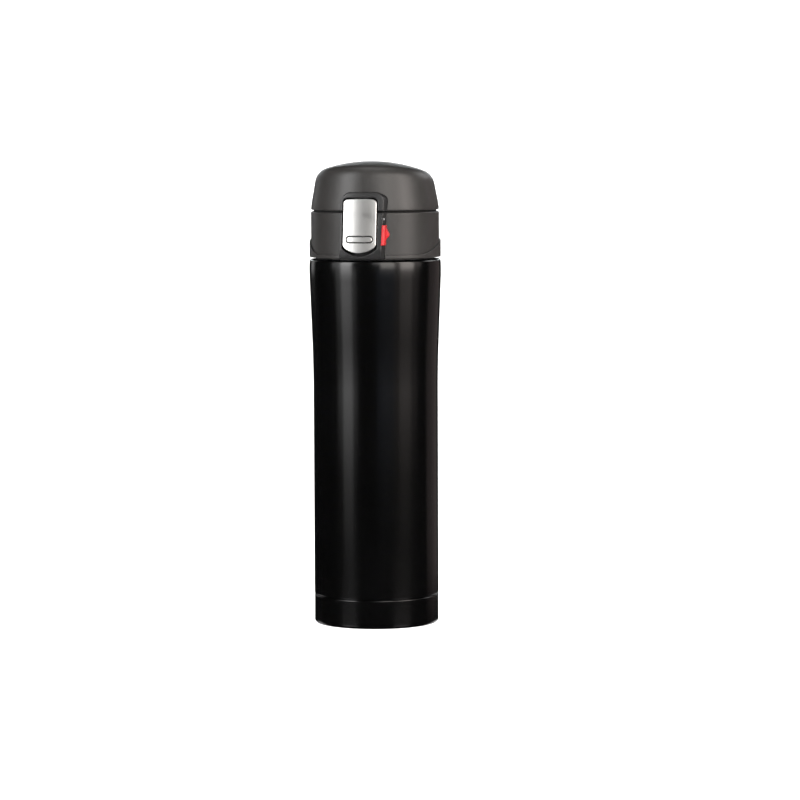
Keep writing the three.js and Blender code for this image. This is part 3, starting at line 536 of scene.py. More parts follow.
UPRIGHT_LINES = (1, 1, 0.02)
SLOT_MATERIAL = {
    "body_lacquer": lacquer(),
    "lid_plastic": moulded("charcoal_plastic", (0.0158, 0.0147, 0.014), (0.0215, 0.0202, 0.0193), 0.38),
    "frame_plastic": moulded(
        "black_frame_plastic", (0.012, 0.012, 0.0122), (0.017, 0.017, 0.0173), 0.34, 0.00002
    ),
    "inner_plastic": moulded("black_inner_plastic", (0.015, 0.015, 0.0155), (0.021, 0.021, 0.0215), 0.5),
    "button_metal": brushed(
        "satin_button_metal", (0.72, 0.715, 0.7), 0.33, UPRIGHT_LINES, 0.2, (0.97, 1.02), 0.02, 0.02
    ),
    "steel": brushed("bare_steel", (0.62, 0.62, 0.63), 0.26, (0.03, 0.03, 1)),
    "spring_steel": brushed("spring_steel", (0.5, 0.5, 0.52), 0.3, (0.2, 1, 1), 0.2),
    "lock_red": red_plastic(),
    "silicone": silicone(),
    "mark": plain_grained("white_mark", grey(0.28), grey(0.35), 0.5),
    "seal_glass": plain_grained("solder_glass", (0.1, 0.14, 0.12), (0.14, 0.19, 0.16), 0.14),
    "getter": plain_grained("getter_alloy", grey(0.12), grey(0.2), 0.65, 0.8),
}
# second materials inside a piece, both painted shade: the dark line in the button's groove and the dark seam
# at the lid's and cover's rims
# painted shade: dark metal laid into the button's debossed groove
GROOVE_PAINTED_SHADE = brushed("painted_shade_groove_metal", (0.1, 0.098, 0.095), 0.45, UPRIGHT_LINES)
# painted shade: near-black plastic on the lid's lip and the cover's rebate, for the gap between them
SEAM_PAINTED_SHADE = moulded("seam_painted_shade_plastic", (0.0015, 0.0015, 0.0015), (0.0025, 0.0025, 0.0025), 0.8)


# ---------------------------------------------------------------- bottle
def body_wall(inset, steps):
    """The body above its straight part, from low to high, set in by a thickness."""
    straight = (BODY_RADIUS - inset, FLARE_START_Z)
    steady = (FLARE_STEADY[0] - inset, FLARE_STEADY[1])
    end = (FLARE_END[0] - inset, FLARE_END[1])
    top = (SHOULDER_RADIUS - inset, SHOULDER_Z - SHOULDER_ROUNDING)
    points = bezier(straight, (straight[0], 136), steady, steps)
    points += bezier(steady, ((steady[0] + end[0]) / 2, (steady[1] + end[1]) / 2), end, steps)
    return points + bezier(end, (34.73 - inset, 187), top, steps)


def bottle_shell():
    step_z = CUP_TOP_Z + 0.4
    outside = rounded([
        (SHELL_FOOT_RADIUS, shell_low.z),
        (SHELL_FOOT_RADIUS, step_z, 0.15),
        (BODY_RADIUS, step_z, 0.45),
        (BODY_RADIUS, FLARE_START_Z - 1),
    ], closed=False)
    inside = [
        (SHOULDER_HOLE, SHOULDER_Z),
        (SHOULDER_HOLE, SHOULDER_Z - STEEL),
        (SHOULDER_RADIUS - SHOULDER_ROUNDING, SHOULDER_Z - STEEL),
    ]
    foot = [
        (BODY_RADIUS - STEEL, step_z + 0.6),
        (SHELL_FOOT_RADIUS - STEEL, step_z),
        (SHELL_FOOT_RADIUS - STEEL, shell_low.z),
    ]
    edge = SHOULDER_ROUNDING
    shoulder = arc((SHOULDER_RADIUS - edge, SHOULDER_Z - edge), edge, 0, 90)
    profile = outside + body_wall(0, 14) + shoulder + inside + body_wall(STEEL, 6)[::-1] + foot
    return lathe(profile, 192)


def cup():
    edge = 1.7
    inner = SHELL_FOOT_RADIUS + GAP
    ring = 24.5
    floor_z = 0.8
    profile = [(0, floor_z)]
    profile += rounded([(0, floor_z), (ring - 1, floor_z, 0.4), (ring, 0, 0.4), (ring + 1, 0)], False)[1:]
    profile += arc((CUP_RADIUS - edge, edge), edge, -90, 0)
    rim = 0.6
    profile += arc((CUP_RADIUS - rim, CUP_TOP_Z - rim), rim, 0, 90, 6)
    profile += [(inner, CUP_TOP_Z), (inner, 2), (inner - 1, floor_z)]
    profile += [(ring + 0.4, floor_z), (ring - 0.6, 2 * floor_z), (0, 2 * floor_z)]
    return lathe(profile, 192)


def screw_ridge(root, crest, start_z, turns, pitch):
    """A right-hand ridge round Z whose crest fades at its ends."""
    per_turn = 96
    steps = int(turns * per_turn)
    fade_steps = 10
    bm = bmesh.new()
    rings = []
    for i in range(steps + 1):
        angle = 2 * math.pi * i / per_turn
        z = start_z + pitch * i / per_turn
        fade = min(1, 0.1 + min(i, steps - i) / fade_steps)
        tip = root + (crest - root) * fade
        section = [(root, -1.05), (tip, -0.5), (tip + 0.12 * (crest - root), 0), (tip, 0.5), (root, 1.05)]
        rings.append([bm.verts.new((r * math.sin(angle), -r * math.cos(angle), z + dz)) for r, dz in section])
    for first, second in zip(rings, rings[1:]):
        bridge(bm, first, second)
    bm.faces.new(rings[0])
    bm.faces.new(reversed(rings[-1]))
    return bm


def liner():
    floor_z = liner_low.z
    fillet = 5.6
    inner_neck = NECK_RADIUS - 1

    def draw_in(outer, neck, drop):
        return bezier((outer, 174 - drop), (outer - 0.3, 184 - drop), (neck, 189.4 - drop), 10)

    wall = [(0, floor_z)]
    wall += arc((LINER_RADIUS - fillet, floor_z + fillet), fillet, -90, 0)
    wall += draw_in(LINER_RADIUS, NECK_RADIUS, 0)
    wall += rounded([
        (NECK_RADIUS, SHOULDER_Z - 1.2),
        (SHOULDER_HOLE - GAP, SHOULDER_Z - 0.8),
        (SHOULDER_HOLE - GAP, SHOULDER_Z, 0.2),
        (NECK_RADIUS, SHOULDER_Z, 0.3),
        (NECK_RADIUS, NECK_TOP_Z, 0.4),
        (inner_neck, NECK_TOP_Z, 0.4),
        (inner_neck, NECK_TOP_Z - 12),
    ], closed=False)
    wall += draw_in(LINER_RADIUS - STEEL, inner_neck, 0.6)[::-1]
    wall += arc((LINER_RADIUS - fillet, floor_z + fillet), fillet - STEEL, 0, -90)
    wall += [(0, floor_z + STEEL)]
    thread = screw_ridge(root=NECK_RADIUS - 0.3, crest=28.4, start_z=195.8, turns=1.5, pitch=4)
    return merge(lathe(wall, 160), thread)


piece("bottle_shell", bottle_shell(), "bottle", "body_lacquer", ["outer_shell"])
piece("bottle_foot_cup", cup(), "bottle", "body_lacquer", ["base_cup"])
piece("bottle_inner_wall", liner(), "bottle", "steel", ["inner_liner"])


# ---------------------------------------------------------------- lid base
def box_tool(low, high):
    bm = bmesh.new()
    bmesh.ops.create_cube(bm, size=1)
    centre = (Vector(low) + Vector(high)) / 2
    size = Vector(high) - Vector(low)
    return moved(bm, lambda x, y, z: (centre.x + x * size.x, centre.y + y * size.y, centre.z + z * size.z))


def rod_tool(radius, x0, x1, y, z):
    """A cylinder along X, for cutting."""
    return along_x(slab(circle((y, z), radius, 48), x0, x1, near_edge=0.001))


def window_tool(low_z, high_z):
    return box_tool((-RECESS_HALF, LATCH_REACH_Y, low_z), (RECESS_HALF, -29.5, high_z))


def knuckle_tool(half):
    return rod_tool(KNUCKLE_RADIUS + GAP, -half - 0.5, half + 0.5, HINGE_Y, HINGE_Z)


def lid_casing():
    inner = LID_RADIUS - LID_WALL
    rim = inner - 0.5
    profile = rounded([
        (LID_RADIUS, LID_BOTTOM_Z, 0.35),
        (LID_RADIUS, LID_TOP_Z, 0.8),
        (LIP_RADIUS, LID_TOP_Z, 0.1),
        (LIP_RADIUS, LIP_TOP_Z, 0.2),
        (rim, LIP_TOP_Z, 0.3),
        (rim, DECK_Z, 0.8),
        (19.5, DECK_Z, 0.3),
        (19.5, 213),
        (inner, 213),
        (inner, LID_BOTTOM_Z, 0.3),
    ])
    flat = box_tool((-RECESS_HALF, LATCH_REACH_Y, PIVOT_Z), (RECESS_HALF, -32.6, LID_TOP_Z + 1))
    tools = window_tool(RECESS_BOTTOM_Z, 212), flat, knuckle_tool(KNUCKLE_HALF)
    return combine("lid_casing", lathe(profile, 192), "DIFFERENCE", *tools)


def band_height(x, y):
    rise = smoothstep(abs(math.atan2(x, -y)), *(BAND_RISE_RIGHT if x > 0 else BAND_RISE_LEFT))
    return BAND_HEIGHTS[0] + (BAND_HEIGHTS[1] - BAND_HEIGHTS[0]) * rise


def climb(x, y, z):
    share = (z - LID_BOTTOM_Z) / BAND_HEIGHTS[1]
    if share > 0.5:
        height = band_height(x, y) - BAND_HEIGHTS[1] * (1 - share)
    else:
        height = BAND_HEIGHTS[1] * share
    return (x, y, LID_BOTTOM_Z + height)


def collar():
    inner = LID_RADIUS + 0.05
    top_z = LID_BOTTOM_Z + BAND_HEIGHTS[1]
    profile = rounded([
        (inner, LID_BOTTOM_Z),
        (BAND_RADIUS, LID_BOTTOM_Z, 0.75),
        (BAND_RADIUS, top_z, 0.7),
        (inner, top_z),
    ], steps=6)
    band = lathe(profile, 192, climb)
    left_end, right_end = FRAME_LEFT_X - 0.3, FRAME_RIGHT_X + 1
    space = box_tool((left_end, LATCH_REACH_Y, LID_BOTTOM_Z - 1), (right_end, 0, LID_TOP_Z))
    band = combine("band", band, "DIFFERENCE", space)
    outer_y = HINGE_Y + KNUCKLE_RADIUS
    wall_y = LID_RADIUS - LID_WALL
    side = rounded([
        (wall_y, 194.2, 0.3),
        (BAND_RADIUS - 0.2, 194.2, 0.8),
        (outer_y, 200.5, 3),
        (outer_y, HINGE_Z - 0.5),
    ], closed=False)
    side += arc((HINGE_Y, HINGE_Z), KNUCKLE_RADIUS, 0, 180, 20)
    side += [(HINGE_Y - KNUCKLE_RADIUS, LID_TOP_Z - 2), (wall_y, LID_TOP_Z - 2)]
    bracket = along_x(slab(side, -BRACKET_HALF, BRACKET_HALF, 0.6, 0.6))
    space_z = HINGE_Z - KNUCKLE_RADIUS - 0.7
    half = KNUCKLE_HALF + GAP
    radius, low, high = LID_RADIUS + 0.02, 180, LID_TOP_Z + GAP
    lid_inside = lathe([(0, low), (radius, low), (radius, high), (0, high)])
    bracket = combine(
        "bracket",
        bracket,
        "DIFFERENCE",
        box_tool((-half, 28, space_z), (half, 40, 230)),
        rod_tool(PIN_RADIUS + 0.15, -BRACKET_HALF - 1, BRACKET_HALF - 1, HINGE_Y, HINGE_Z),
        lid_inside,
    )
    return merge(band, bracket)


def spout_shape():
    """The spout's flange, tapered oval tower and hollow as one loft, then its slot and vent."""
    narrow = 12.8 / 15.5
    top = spout_high.z
    roof = top - 1.6
    flange_top = 216
    flange_low = DECK_Z + GAP
    segments = 128
    # half width, share of the way from a circle about the lid's axis to the spout's own oval, height
    rings = [(17.4, 0, spout_low.z), (17.75, 0, spout_low.z + 0.3), (17.75, 0, flange_low)]
    rings += [(23.8, 0, flange_low), (24, 0, flange_low + 0.2)]
    rings += [(24, 0, flange_top - 0.3), (23.7, 0, flange_top)]
    rings += [(16.6, 1, flange_top), (15.9, 1, flange_top + 0.3)]
    rings += [(15.5 - 2.5 * t, 1, flange_top + (top - flange_top) * t) for t in (0.12, 0.4, 0.7, 0.88)]
    edge = 0.7
    for angle in (0, 0.4, 0.8, 1.2, math.pi / 2):
        rings.append((13 - edge * (1 - math.cos(angle)), 1, top - edge * (1 - math.sin(angle))))
    rings += [(0, 1, top), (0, 1, roof), (11, 1, roof), (11.4, 1, roof - 0.4)]
    rings += [(13.4, 1, flange_top), (13.6, 1, 214), (15.75, 0, 213.4), (15.75, 0, spout_low.z)]
    bm = bmesh.new()
    loops = []
    for half, share, z in rings:
        centre_y = SPOUT_Y * share
        if half == 0:
            loops.append([bm.verts.new((0, centre_y, z))] * segments)
            continue
        half_y = half * (1 + (narrow - 1) * share)
        loop = []
        for i in range(segments):
            angle = 2 * math.pi * i / segments
            loop.append(bm.verts.new((half * math.cos(angle), centre_y + half_y * math.sin(angle), z)))
        loops.append(loop)
    for k, first in enumerate(loops):
        second = loops[(k + 1) % len(loops)]
        if first[0] is first[1] and second[0] is second[1]:
            continue
        bridge(bm, first, second)
    half, slot_y, end = 3.5, SPOUT_Y - 4, 3
    slot = arc((half, slot_y), end, -90, 90, 12) + arc((-half, slot_y), end, 90, 270, 12)
    vent = circle((0, SPOUT_Y + 5.5), 1.1, 24)
    tools = [along_z(slab(outline, top - 4, top + 2, 0.001)) for outline in (slot, vent)]
    return combine("spout", bm, "DIFFERENCE", *tools)


def pin(x0, x1, radius, y, z):
    """A pin along X with domed ends."""
    dome = radius * 0.25
    profile = rounded([(0, x0), (radius, x0, dome), (radius, x1, dome), (0, x1)], False)
    return moved(lathe(profile, 48), lambda a, b, c: (c, y + a, z + b))


def coil(radius, wire, turns, length, place):
    """A wound spring; place puts a point (across, up, along) where it belongs."""
    per_turn = 36
    points = []
    for i in range(int(turns * per_turn) + 1):
        angle = 2 * math.pi * i / per_turn
        along = length * (i / (turns * per_turn) - 0.5)
        points.append(place(radius * math.cos(angle), radius * math.sin(angle), along))
    return tube(points, wire)


def in_lid_seam(centre):
    return centre.z > LID_TOP_Z - 0.1 and math.hypot(centre.x, centre.y) < LID_RADIUS - 0.75


lid_shell = piece("lid_casing", lid_casing(), "lid_base", "lid_plastic", ["lid_body"])
# paints shade on the lid's lip in the seam under the cover
paint_shade_faces(lid_shell, SEAM_PAINTED_SHADE, in_lid_seam)
piece("lid_collar", collar(), "lid_base", "lid_plastic", ["hinge_collar"])
piece("drinking_spout", spout_shape(), "lid_base", "inner_plastic", ["spout"])
hinge_pin = pin(-BRACKET_HALF + 0.2, BRACKET_HALF - 1.3, PIN_RADIUS, HINGE_Y, HINGE_Z)
piece("cover_hinge_pin", hinge_pin, "lid_base", "spring_steel", ["hinge_pin"])
cover_spring = coil(
    radius=1.85, wire=0.28, turns=4.5, length=5.6, place=lambda a, b, c: (c, HINGE_Y + a, HINGE_Z + b)
)
piece("cover_torsion_spring", cover_spring, "lid_base", "spring_steel", ["hinge_spring"])


# ---------------------------------------------------------------- latch
def sagging(half, side_z, bottom_z, steps=24):
    """An arc that sags below two side points, from right to left."""
    sag = side_z - bottom_z
    radius = (half**2 + sag**2) / (2 * sag)
    reach = math.degrees(math.asin(half / radius))
    return arc((0, bottom_z + radius), radius, reach - 90, -reach - 90, steps)


def leant(z):
    """How far back the leaning latch has moved at a height."""
    return LATCH_LEAN * (z - LATCH_MIDDLE_Z)


def lean_back(bm):
    return moved(bm, lambda x, y, z: (x, y + leant(z), z))


def flank_shift(x, z):
    """How far the frame's flanks and top lean right; the recess between them stays upright."""
    outside = smoothstep(abs(x), RECESS_HALF + 0.1, RECESS_HALF + 1.3)
    above = smoothstep(z, RECESS_TOP_Z, RECESS_TOP_Z + 0.8)
    return FRAME_SIDE_LEAN * (z - FRAME_FOOT_Z) * max(outside, above)


def foot_bevel(z):
    """How far the frame's foot falls back below the button."""
    share = min(1, max(0, (BEVEL_TOP_Z - z) / (BEVEL_TOP_Z - LID_BOTTOM_Z)))
    return BEVEL_DEPTH * share**1.6


def frame_half(outline, surface_radius, sunk=0.9, edge=0.5):
    """A slab bent to the latch frame's leaning front, with its back sunk into a round wall."""
    thickness = 10

    def place(x, y, z):
        x += flank_shift(x, z)
        if y < thickness / 2:
            front = FRAME_FRONT_Y + x * x / (2 * FRAME_CURVATURE) + leant(z) + foot_bevel(z)
            return (x, front + y, z)
        depth = -math.sqrt((surface_radius(z) - sunk) ** 2 - x**2)
        draft = FRAME_DRAFT * (depth - FRAME_FRONT_Y) * smoothstep(x, 10, 12)
        return (x + draft, depth, z)

    bm = slab(outline, 0, thickness, edge, steps=5)
    strips(bm, FRAME_LEFT_X, FRAME_RIGHT_X, 0.6)
    strips(bm, LID_BOTTOM_Z, BEVEL_TOP_Z, 0.5, (0, 0, 1))
    return moved(bm, place)


def lower_frame():
    outline = rounded([
        (FRAME_LEFT_X, lower_low.z, 0.5),
        (FRAME_RIGHT_X, lower_low.z, 0.5),
        (FRAME_RIGHT_X, lower_high.z, 0.25),
        (RECESS_HALF, lower_high.z, 0.2),
    ])[:-1]
    outline += [(RECESS_HALF, lower_high.z - 1)]
    outline += sagging(RECESS_HALF, RECESS_SIDE_Z, RECESS_BOTTOM_Z)
    outline += [(-RECESS_HALF, lower_high.z - 0.2), (-RECESS_HALF - 0.2, lower_high.z)]
    outline += [(FRAME_LEFT_X + 0.25, lower_high.z), (FRAME_LEFT_X, lower_high.z - 0.25)]
    return frame_half(outline, lambda z: LID_RADIUS)


def crowned(left, right, top, corner):
    """The top of an outline with two round corners, from right to left."""
    points = arc((right - corner, top - corner), corner, 0, 90, 16)
    return points + arc((left + corner, top - corner), corner, 90, 180, 16)


def upper_frame():
    corner, inner_corner = 4.8, 2.6
    low = COVER_BOTTOM_Z
    outline = [(FRAME_RIGHT_X - 0.25, low), (FRAME_RIGHT_X, low + 0.25)]
    outline += crowned(FRAME_LEFT_X, FRAME_RIGHT_X, FRAME_TOP_Z, corner)
    outline += [(FRAME_LEFT_X, low + 0.25), (FRAME_LEFT_X + 0.25, low), (-RECESS_HALF - 0.2, low)]
    outline += [(-RECESS_HALF, low + 0.2)]
    outline += arc((-RECESS_HALF + inner_corner, RECESS_TOP_Z - inner_corner), inner_corner, 180, 90, 10)
    outline += arc((RECESS_HALF - inner_corner, RECESS_TOP_Z - inner_corner), inner_corner, 90, 0, 10)
    outline += [(RECESS_HALF, low + 0.2), (RECESS_HALF + 0.2, low)]
    return frame_half(outline, cover_wall_radius)


def cover_wall_radius(z):
    return COVER_RADIUS - 0.165 * max(0, z - COVER_STRAIGHT_Z)


def frame_pocket():
    """The seat that the upper frame sits in, a hair wider than the frame."""
    margin, corner = 0.32, 5.1
    left, right, top = FRAME_LEFT_X - margin, FRAME_RIGHT_X + margin, FRAME_TOP_Z + margin
    outline = [(left, COVER_BOTTOM_Z - 2), (right, COVER_BOTTOM_Z - 2)]
    outline += crowned(left, right, top, corner)
    return frame_half(outline, cover_wall_radius, 0.7, 0.01)


def plate_top(x):
    """The height of the plate's crowned top edge, with its round corners."""
    corner, crown = 2.2, 0.5
    reach = PLATE_HALF - corner
    edge = plate_high.z - crown + crown * (1 - (x / PLATE_HALF) ** 2)
    past = max(0, abs(x) - reach)
    return edge - (corner - math.sqrt(max(corner**2 - past**2, 0)))


def plate_bottom(x):
    """The height of the plate's sagging foot, with its round corners."""
    sag = 3.5
    corner = 1.6
    radius = (PLATE_HALF**2 + sag**2) / (2 * sag)
    edge = plate_low.z + radius - math.sqrt(radius**2 - x * x)
    past = max(0, abs(x) - (PLATE_HALF - corner))
    return edge + corner - math.sqrt(max(corner**2 - past**2, 0))


def spaced(low, high, edge, fine, coarse):
    """Stations from low to high, fine near both ends."""
    near = [low + edge * i / fine for i in range(fine)]
    middle = [low + edge + (high - low - 2 * edge) * i / coarse for i in range(coarse)]
    far = [high - edge + edge * i / fine for i in range(fine + 1)]
    return near + middle + far


STADIUM = {"left": -6.8, "right": 7.1, "low": 201.4, "high": 204.6}
GROOVE_HALF, GROOVE_DEPTH = 0.42, 0.3


def stadium_distance(x, z):
    """How far a point is from the debossed outline's centre line."""
    radius = (STADIUM["high"] - STADIUM["low"]) / 2
    middle_z = STADIUM["low"] + radius
    nearest = min(max(x, STADIUM["left"] + radius), STADIUM["right"] - radius)
    return abs(math.hypot(x - nearest, z - middle_z) - radius)


def plate():
    """The button's face: a dense grid with rounded rim, a slight bulge and a debossed outline."""
    rim = 0.45
    columns = spaced(-PLATE_HALF, PLATE_HALF, 0.6, 8, 110)
    bm = bmesh.new()
    grids = {"front": [], "back": []}
    for x in columns:
        bottom, top = plate_bottom(x), plate_top(x)
        rows = spaced(bottom, top, 0.6, 8, 190)
        front, back = [], []
        for z in rows:
            edge = min(PLATE_HALF - abs(x), top - z, z - bottom, rim)
            drop = rim - math.sqrt(max(rim**2 - (rim - edge) ** 2, 0))
            distance = stadium_distance(x, z)
            groove = GROOVE_DEPTH * (1 - smoothstep(distance, 0.45 * GROOVE_HALF, GROOVE_HALF))
            face = PLATE_FRONT_Y + x * x / (2 * PLATE_CURVATURE) + leant(z)
            front.append(bm.verts.new((x, face + drop + groove, z)))
            back.append(bm.verts.new((x, face + PLATE_THICKNESS, z)))
        grids["front"].append(front)
        grids["back"].append(back)
    for grid in grids.values():
        for one, two in zip(grid, grid[1:]):
            for i in range(len(one) - 1):
                bm.faces.new((one[i], two[i], two[i + 1], one[i + 1]))
    front, back = grids["front"], grids["back"]
    border = [(column, 0) for column in range(len(columns))]
    border += [(len(columns) - 1, row) for row in range(1, len(front[0]))]
    border += [(column, len(front[0]) - 1) for column in range(len(columns) - 2, -1, -1)]
    border += [(0, row) for row in range(len(front[0]) - 2, 0, -1)]
    for (a, b), (c, d) in zip(border, border[1:] + border[:1]):
        bm.faces.new((front[a][b], back[a][b], back[c][d], front[c][d]))
    return bm


def lever():
    """The lever behind the face: a paddle, its axle, the spring's boss and the catch's nose."""
    half = lever_high.x
    front, back = PLATE_FRONT_Y + PLATE_THICKNESS + GAP, -33.9
    side_z = RECESS_SIDE_Z + 1.4
    top_z = lever_high.z
    outline = rounded([(half, side_z), (half, top_z, 1.2), (-half, top_z, 1.2), (-half, side_z)], False)
    outline += sagging(half, side_z, plate_low.z + 0.8, 16)[::-1][1:-1]
    paddle = strips(slab(outline, 0, 1, 0.1, 0.2), -half, half, 0.8)

    def curved(x, share, z):
        face = front + x * x / (2 * PLATE_CURVATURE)
        return (x, face + (back - face) * share + leant(z), z)

    moved(paddle, curved)
    axle_ring = circle((PIVOT_Y, PIVOT_Z), 1.25, 32)
    axle = along_x(slab(axle_ring, -half + 0.2, half - 0.2, 0.2, 0.2))
    root, tip, nose_z = -33.4, -31.65, 219.75
    hook = rounded([(root, nose_z), (tip, nose_z, 0.15), (tip, nose_z + 0.8, 0.2), (root, nose_z + 2.7)])
    nose = along_x(slab(hook, -4, 4, 0.2, 0.2))
    boss = slab(circle((0, spring_middle.z), 1.1, 24), -36, spring_low.y + 1.4, 0.1, 0.25)
    return merge(paddle, axle, nose, boss)


def slider():
    """The red lock: a bar that wraps the frame's corner, with a thumb nub and a lug."""
    low, high = slider_low.z, slider_high.z
    plan = rounded([
        (11.4, -36.1, 0.3),
        (12.5, -35.85, 0.5),
        (13.1, -35.1, 0.5),
        (13.3, -31.9, 0.3),
        (12.55, -31.9, 0.1),
        (12.12, -34.8, 0.1),
        (11.8, -35.2, 0.1),
        (11.4, -35.2, 0.1),
    ])
    bar = along_z(slab(plan, low, high, 0.3, 0.3))
    nub_outline = rounded([(12.8, 202.1), (15.25, 205.1, 0.9), (15, 206, 0.9), (12.8, 209.9)], steps=8)
    nub = slab(nub_outline, -34.9, -32.3, 0.5, 0.4)
    lug = box_tool((RECESS_HALF + GAP, -34, 200.7), (12.9, -32.8, 203.1))
    whole = lean_back(merge(bar, nub, lug))
    return moved(whole, lambda x, y, z: (x + FRAME_SIDE_LEAN * (z - FRAME_FOOT_Z), y, z))


def dot():
    centre_y, centre_z = (dot_low.y + dot_high.y) / 2, (dot_low.z + dot_high.z) / 2
    ring = circle((centre_y, centre_z), 0.52, 32)
    return along_x(slab(ring, dot_low.x, dot_high.x, 0.08, 0.12))


def in_groove(centre):
    face = PLATE_FRONT_Y + centre.x**2 / (2 * PLATE_CURVATURE) + leant(centre.z)
    return centre.y < face + 0.5 and stadium_distance(centre.x, centre.z) < 0.8 * GROOVE_HALF


piece("latch_frame_lower", lower_frame(), "lid_base", "frame_plastic", ["lower_latch_frame"])
piece("latch_frame_upper", upper_frame(), "flip_cover", "frame_plastic", ["upper_latch_frame"])
button_face = piece("button_face", plate(), "latch_button", "button_metal", ["button_plate"])
# paints shade into the debossed groove on the button face
paint_shade_faces(button_face, GROOVE_PAINTED_SHADE, in_groove)
piece("button_lever", lever(), "latch_button", "inner_plastic", ["latch_lever"])
latch_pin = pin(x0=-10.2, x1=10.7, radius=0.8, y=PIVOT_Y, z=PIVOT_Z)
piece("button_pin", latch_pin, "lid_base", "spring_steel", ["latch_pin"])
wire = 0.18
button_spring = coil(
    radius=1.7,
    wire=wire,
    turns=4,
    length=spring_high.y - spring_low.y - 2 * wire,
    place=lambda a, b, c: (a, spring_middle.y + c, spring_middle.z + b),
)
piece("button_spring", button_spring, "lid_base", "spring_steel", ["latch_spring"])
piece("lock_slide_red", slider(), "lock", "lock_red", ["lock_slider"])
piece("lock_mark", dot(), "lid_base", "mark", ["lock_dot"])


# ---------------------------------------------------------------- flip cover
def lean(x, y, z):
    return (x, y, z - CROWN_LEAN * y * smoothstep(z, COVER_BOTTOM_Z + 1, 235))


def crown_profile(inset):
    """The cover from above its rim to the axis, set in by a wall."""
    side = COVER_RADIUS - inset
    reach = 26 - inset * 0.3
    radius = CROWN_RADIUS - inset
    centre_z = CROWN_APEX_Z - CROWN_RADIUS
    edge = math.acos(reach / radius)
    shoulder = (reach, centre_z + radius * math.sin(edge))
    points = bezier((side, COVER_STRAIGHT_Z), (side - 0.2, 221), (side - 1.3, 226.5), 12)
    points += bezier((side - 1.3, 226.5), (side - 1.7, 228.75), (side - 2.1, 231), 6)
    points += bezier((side - 2.1, 231), (side - 3, 236.6 - inset), shoulder, 18)
    cap = arc((0, centre_z), radius, math.degrees(edge), 90, 24)
    return points + cap[:-1] + [(0, CROWN_APEX_Z - inset)]


def rebate_top(y):
    """Where the painted shade inside the cover's rim ends; the knuckle's arm keeps its own colour."""
    return LIP_TOP_Z + 0.3 if y < HINGE_Y - 4 else 0


def cover():
    inner = COVER_RADIUS - COVER_WALL
    rebate, rebate_z = LIP_RADIUS + GAP, LIP_TOP_Z + GAP
    rim = rounded([
        (inner, COVER_STRAIGHT_Z),
        (inner, rebate_z, 0.1),
        (rebate, rebate_z, 0.1),
        (rebate, COVER_BOTTOM_Z, 0.2),
        (COVER_RADIUS, COVER_BOTTOM_Z, 0.45),
        (COVER_RADIUS, COVER_STRAIGHT_Z),
    ], False, 5)
    profile = crown_profile(COVER_WALL)[::-1][:-1] + rim[:-1] + crown_profile(0)
    shell = lathe(profile, 192, lean)
    tools = window_tool(PIVOT_Z, RECESS_TOP_Z + 0.2), frame_pocket(), knuckle_tool(BRACKET_HALF)
    shell = combine("cover", shell, "DIFFERENCE", *tools)
    posts = []
    post_y, post_radius, post_top = 17, 2.8, 236.4
    for x in (-POST_X, POST_X):
        ring = circle((x, post_y), post_radius, 32)
        posts.append(along_z(slab(ring, ROOF_Z + 0.5, post_top, 0.2)))
    arm = rounded([
        (LIP_RADIUS + 0.3, HINGE_Z + 1),
        (HINGE_Y, HINGE_Z + 1),
        (HINGE_Y + KNUCKLE_RADIUS, HINGE_Z),
        (HINGE_Y + 0.6, HINGE_Z + 5.5, 2.5),
        (COVER_RADIUS - 2.1, HINGE_Z + 7.3, 0.3),
    ])
    arm_body = along_x(slab(arm, -KNUCKLE_HALF, KNUCKLE_HALF, 0.4, 0.4))
    knuckle_ring = circle((HINGE_Y, HINGE_Z), KNUCKLE_RADIUS, 48)
    knuckle = along_x(slab(knuckle_ring, -KNUCKLE_HALF, KNUCKLE_HALF, 0.4, 0.4))
    arm_body = combine("arm", arm_body, "UNION", knuckle)
    arm_body = combine(
        "arm",
        arm_body,
        "DIFFERENCE",
        rod_tool(KNUCKLE_RADIUS + 0.1, -3.4, 3.4, HINGE_Y, HINGE_Z),
        rod_tool(PIN_RADIUS + 0.15, -20, 20, HINGE_Y, HINGE_Z),
    )
    return merge(shell, arm_body, *posts)


def cover_roof():
    rim_radius = roof_high.x
    rim_z = roof_low.z
    seat = 16.6

    def corner(inset):
        start = rim_radius - 0.7 - inset, 225.4 - inset * 0.3
        return bezier(start, (28.9 - inset, ROOF_Z - inset), (ROOF_FLAT - inset, ROOF_Z - inset), 12)

    under = ROOF_Z - ROOF_WALL
    profile = [(0, under), (ROOF_FLAT - ROOF_WALL, under)] + corner(ROOF_WALL)[::-1]
    profile += rounded([
        (rim_radius - ROOF_WALL, rim_z + 2),
        (rim_radius - ROOF_WALL, rim_z, 0.4),
        (rim_radius, rim_z, 0.4),
        (rim_radius, rim_z + 2),
    ], False)
    profile += corner(0) + [(ROOF_FLAT, ROOF_Z), (0, ROOF_Z)]
    dome = lathe(profile, 192)
    ring_z = spout_high.z + 0.6
    ring_top, inner = ROOF_Z - 0.4, seat - 1.3
    ring_profile = rounded([(inner, ring_z, 0.3), (seat, ring_z, 0.3), (seat, ring_top), (inner, ring_top)])
    ring = moved(lathe(ring_profile, 128), lambda x, y, z: (x, y + SPOUT_Y, z))
    lip_z = LIP_TOP_Z + 0.35
    lip = rounded([(-31.4, lip_z, 0.2), (-29.0, lip_z), (-29.0, 219.4), (-31.4, 219.4, 0.3)])
    catch = along_x(slab(lip, -6, 6, 0.25, 0.25))
    ribs = []
    for angle in (-150, -90, 90, 150):
        ribs.append(rib(math.radians(angle), seat + 0.2, 28.2, under))
    return merge(dome, ring, catch, *ribs)


